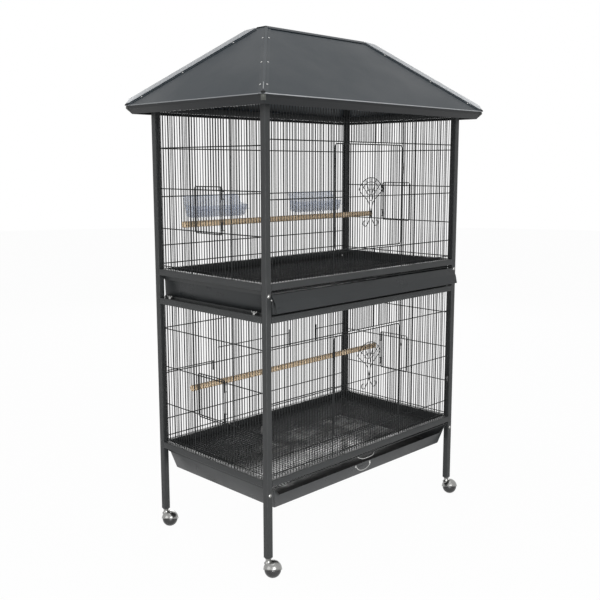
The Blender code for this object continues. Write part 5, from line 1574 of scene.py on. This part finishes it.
class CAGE_OT_feeders(bpy.types.Operator):
    """Make the two tinted feeders: a trough with a low front rim, a high back and a ledge"""

    bl_idname = "cage.feeders"
    bl_label = "Feeders"

    def execute(self, context):
        for name in ("left_feeder", "right_feeder"):
            low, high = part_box(name)
            half_x, half_y = (high.x - low.x) / 2, (high.y - low.y) / 2
            centre = ((high.x + low.x) / 2, (high.y + low.y) / 2)
            depth = high.z - low.z - 0.008

            def rim_share(u, v):
                return 1 - 0.44 * np.clip((0.94 - v) / 0.5, 0, 1)

            cup = pan_shape(
                half_x, half_y, centre, low.z + depth, depth, taper=0.014, sheet=0.0018, flange=None,
                corner=0.016, rim_share=rim_share, fold=0.010,
            )
            left, right = centre[0] - half_x * 0.94, centre[0] + half_x * 0.94
            y, z = centre[1] - half_y * 0.90, low.z + depth * 0.36
            ledge = straight_wires((left, y, z), (right, y, z), 0.0030, 8)
            make_piece(name + "_cup", [cup, ledge], feeder_plastic(), "cage", "feeder_plastic", [name])
        return {"FINISHED"}


class CAGE_OT_wall_clips(bpy.types.Operator):
    """Make the small dark clips beside two of the posts"""

    bl_idname = "cage.wall_clips"
    bl_label = "Wall clips"

    def execute(self, context):
        half = [(0, 0.011), (0.0032, 0.0102), (0.0046, 0.0075)]
        body = [*half, *((radius, -height) for radius, height in half[::-1])]
        clips = [
            turned(body, in_wall(side, [(x, 0.004, level)])[0], (0, 0, 1), 16)
            for side, x, level in (
                ("left", SIDE_LENGTH - 0.004, 0.450), ("front", FRONT_LENGTH - 0.010, 0.443),
            )
        ]
        make_piece("wall_clips", clips, ball_material(), "cage", "caster_ball")
        return {"FINISHED"}


class CAGE_OT_stage(bpy.types.Operator):
    """Make the pale floor, the soft lamps, the white surroundings and the photograph's camera"""

    bl_idname = "cage.stage"
    bl_label = "Stage"

    def execute(self, context):
        self.floor()
        self.world(context.scene)
        for lamp in LAMPS:
            self.lamp(*lamp)
        camera = bpy.data.cameras.new("photo_camera")
        camera.lens = CAMERA_LENS
        camera.sensor_width = 36.0
        camera.shift_x, camera.shift_y = CAMERA_SHIFT
        eye = bpy.data.objects.new("photo_camera", camera)
        eye.location = CAMERA_PLACE
        eye.rotation_euler = [math.radians(turn) for turn in CAMERA_TURN]
        context.scene.collection.objects.link(eye)
        context.scene.camera = eye
        context.scene.view_settings.view_transform = "Standard"
        return {"FINISHED"}

    def seen_directly(self, tree):
        """1 for camera, glossy and transmission rays, else 0."""
        path = tree.nodes.new("ShaderNodeLightPath")
        seen = maths(tree, path.outputs["Is Camera Ray"], path.outputs["Is Glossy Ray"], "MAXIMUM")
        return maths(tree, seen, path.outputs["Is Transmission Ray"], "MAXIMUM")

    def floor(self):
        """A round floor, flat in the middle: height = 0, radius in even steps."""
        turn, reach = np.meshgrid(np.linspace(0, 2 * math.pi, 64, endpoint=False), np.linspace(0.5, 14, 12))
        points = np.stack([reach * np.cos(turn), reach * np.sin(turn), np.zeros_like(turn)], axis=-1)
        mesh = bpy.data.meshes.new("floor")
        faces = [*grid_faces(12, 64, False, True)[:, ::-1].tolist(), list(range(64))]
        mesh.from_pydata(points.reshape(-1, 3).tolist(), [], faces)
        floor = bpy.data.objects.new("floor", mesh)
        bpy.context.scene.collection.objects.link(floor)
        material, tree, shader = new_material("floor_paper")
        shader.inputs["Base Color"].default_value = (0.86, 0.86, 0.86, 1)
        shader.inputs["Roughness"].default_value = 0.9
        shader.inputs["Specular IOR Level"].default_value = 0.0
        glow = tree.nodes.new("ShaderNodeEmission")
        blend = tree.nodes.new("ShaderNodeMixShader")
        share = maths(tree, self.seen_directly(tree), 0.97, "MULTIPLY")
        send(tree, blend, Fac=share)
        tree.links.new(shader.outputs["BSDF"], blend.inputs[1])
        tree.links.new(glow.outputs["Emission"], blend.inputs[2])
        send(tree, tree.nodes["Material Output"], Surface=blend.outputs["Shader"])
        mesh.materials.append(material)

    def world(self, scene):
        """White surroundings where seen directly, a softer pale light for everything else."""
        world = bpy.data.worlds.new("pale_room")
        world.use_nodes = True
        scene.world = world
        tree = world.node_tree
        ambient = tree.nodes["Background"]
        ambient.inputs["Color"].default_value = (0.93, 0.96, 1.0, 1)
        ambient.inputs["Strength"].default_value = 0.30
        white = tree.nodes.new("ShaderNodeBackground")
        white.inputs["Color"].default_value = (1, 1, 1, 1)
        white.inputs["Strength"].default_value = 1.0
        blend = tree.nodes.new("ShaderNodeMixShader")
        send(tree, blend, Fac=self.seen_directly(tree))
        tree.links.new(ambient.outputs["Background"], blend.inputs[1])
        tree.links.new(white.outputs["Background"], blend.inputs[2])
        send(tree, tree.nodes["World Output"], Surface=blend.outputs["Shader"])

    def lamp(self, name, place, aim, size, power):
        """A square soft lamp that looks at a point."""
        light = bpy.data.lights.new(name, "AREA")
        light.size = size
        light.energy = power
        lamp = bpy.data.objects.new(name, light)
        away = unit(np.array(place, float) - np.array(aim, float))
        lamp.rotation_euler = (math.acos(away[2]), 0.0, math.atan2(away[0], -away[1]))
        lamp.location = place
        bpy.context.scene.collection.objects.link(lamp)


OPERATORS = (
    CAGE_OT_walls, CAGE_OT_front_doors, CAGE_OT_side_doors, CAGE_OT_ornaments, CAGE_OT_latches, CAGE_OT_posts,
    CAGE_OT_roof, CAGE_OT_trays, CAGE_OT_grates, CAGE_OT_casters, CAGE_OT_wing_nuts, CAGE_OT_perches,
    CAGE_OT_feeders, CAGE_OT_wall_clips, CAGE_OT_stage,
)


class CAGE_PT_panel(bpy.types.Panel):
    """Sidebar panel with the cage's sizes, colours and steps"""

    bl_idname = "CAGE_PT_panel"
    bl_label = "Bird cage"
    bl_space_type = "VIEW_3D"
    bl_region_type = "UI"
    bl_category = "Cage"

    def draw(self, context):
        for group in (context.scene.cage_sizes, context.scene.cage_colours):
            box = self.layout.box()
            for name in group.__annotations__:
                box.prop(group, name)
        for operator in OPERATORS:
            self.layout.operator(operator.bl_idname)


CLASSES = (CageSizes, CageColours, *OPERATORS, CAGE_PT_panel)


def register():
    """Register the classes and their settings."""
    for cls in CLASSES:
        bpy.utils.register_class(cls)
    bpy.types.Scene.cage_sizes = PointerProperty(type=CageSizes)
    bpy.types.Scene.cage_colours = PointerProperty(type=CageColours)


def unregister():
    """Remove the settings and classes."""
    del bpy.types.Scene.cage_colours
    del bpy.types.Scene.cage_sizes
    for cls in reversed(CLASSES):
        bpy.utils.unregister_class(cls)


def main():
    """Run every step in order."""
    register()
    for operator in OPERATORS:
        group, step = operator.bl_idname.split(".")
        result = getattr(getattr(bpy.ops, group), step)()
        if "FINISHED" not in result:
            raise RuntimeError(operator.bl_label + " did not finish")


if __name__ == "__main__":
    main()
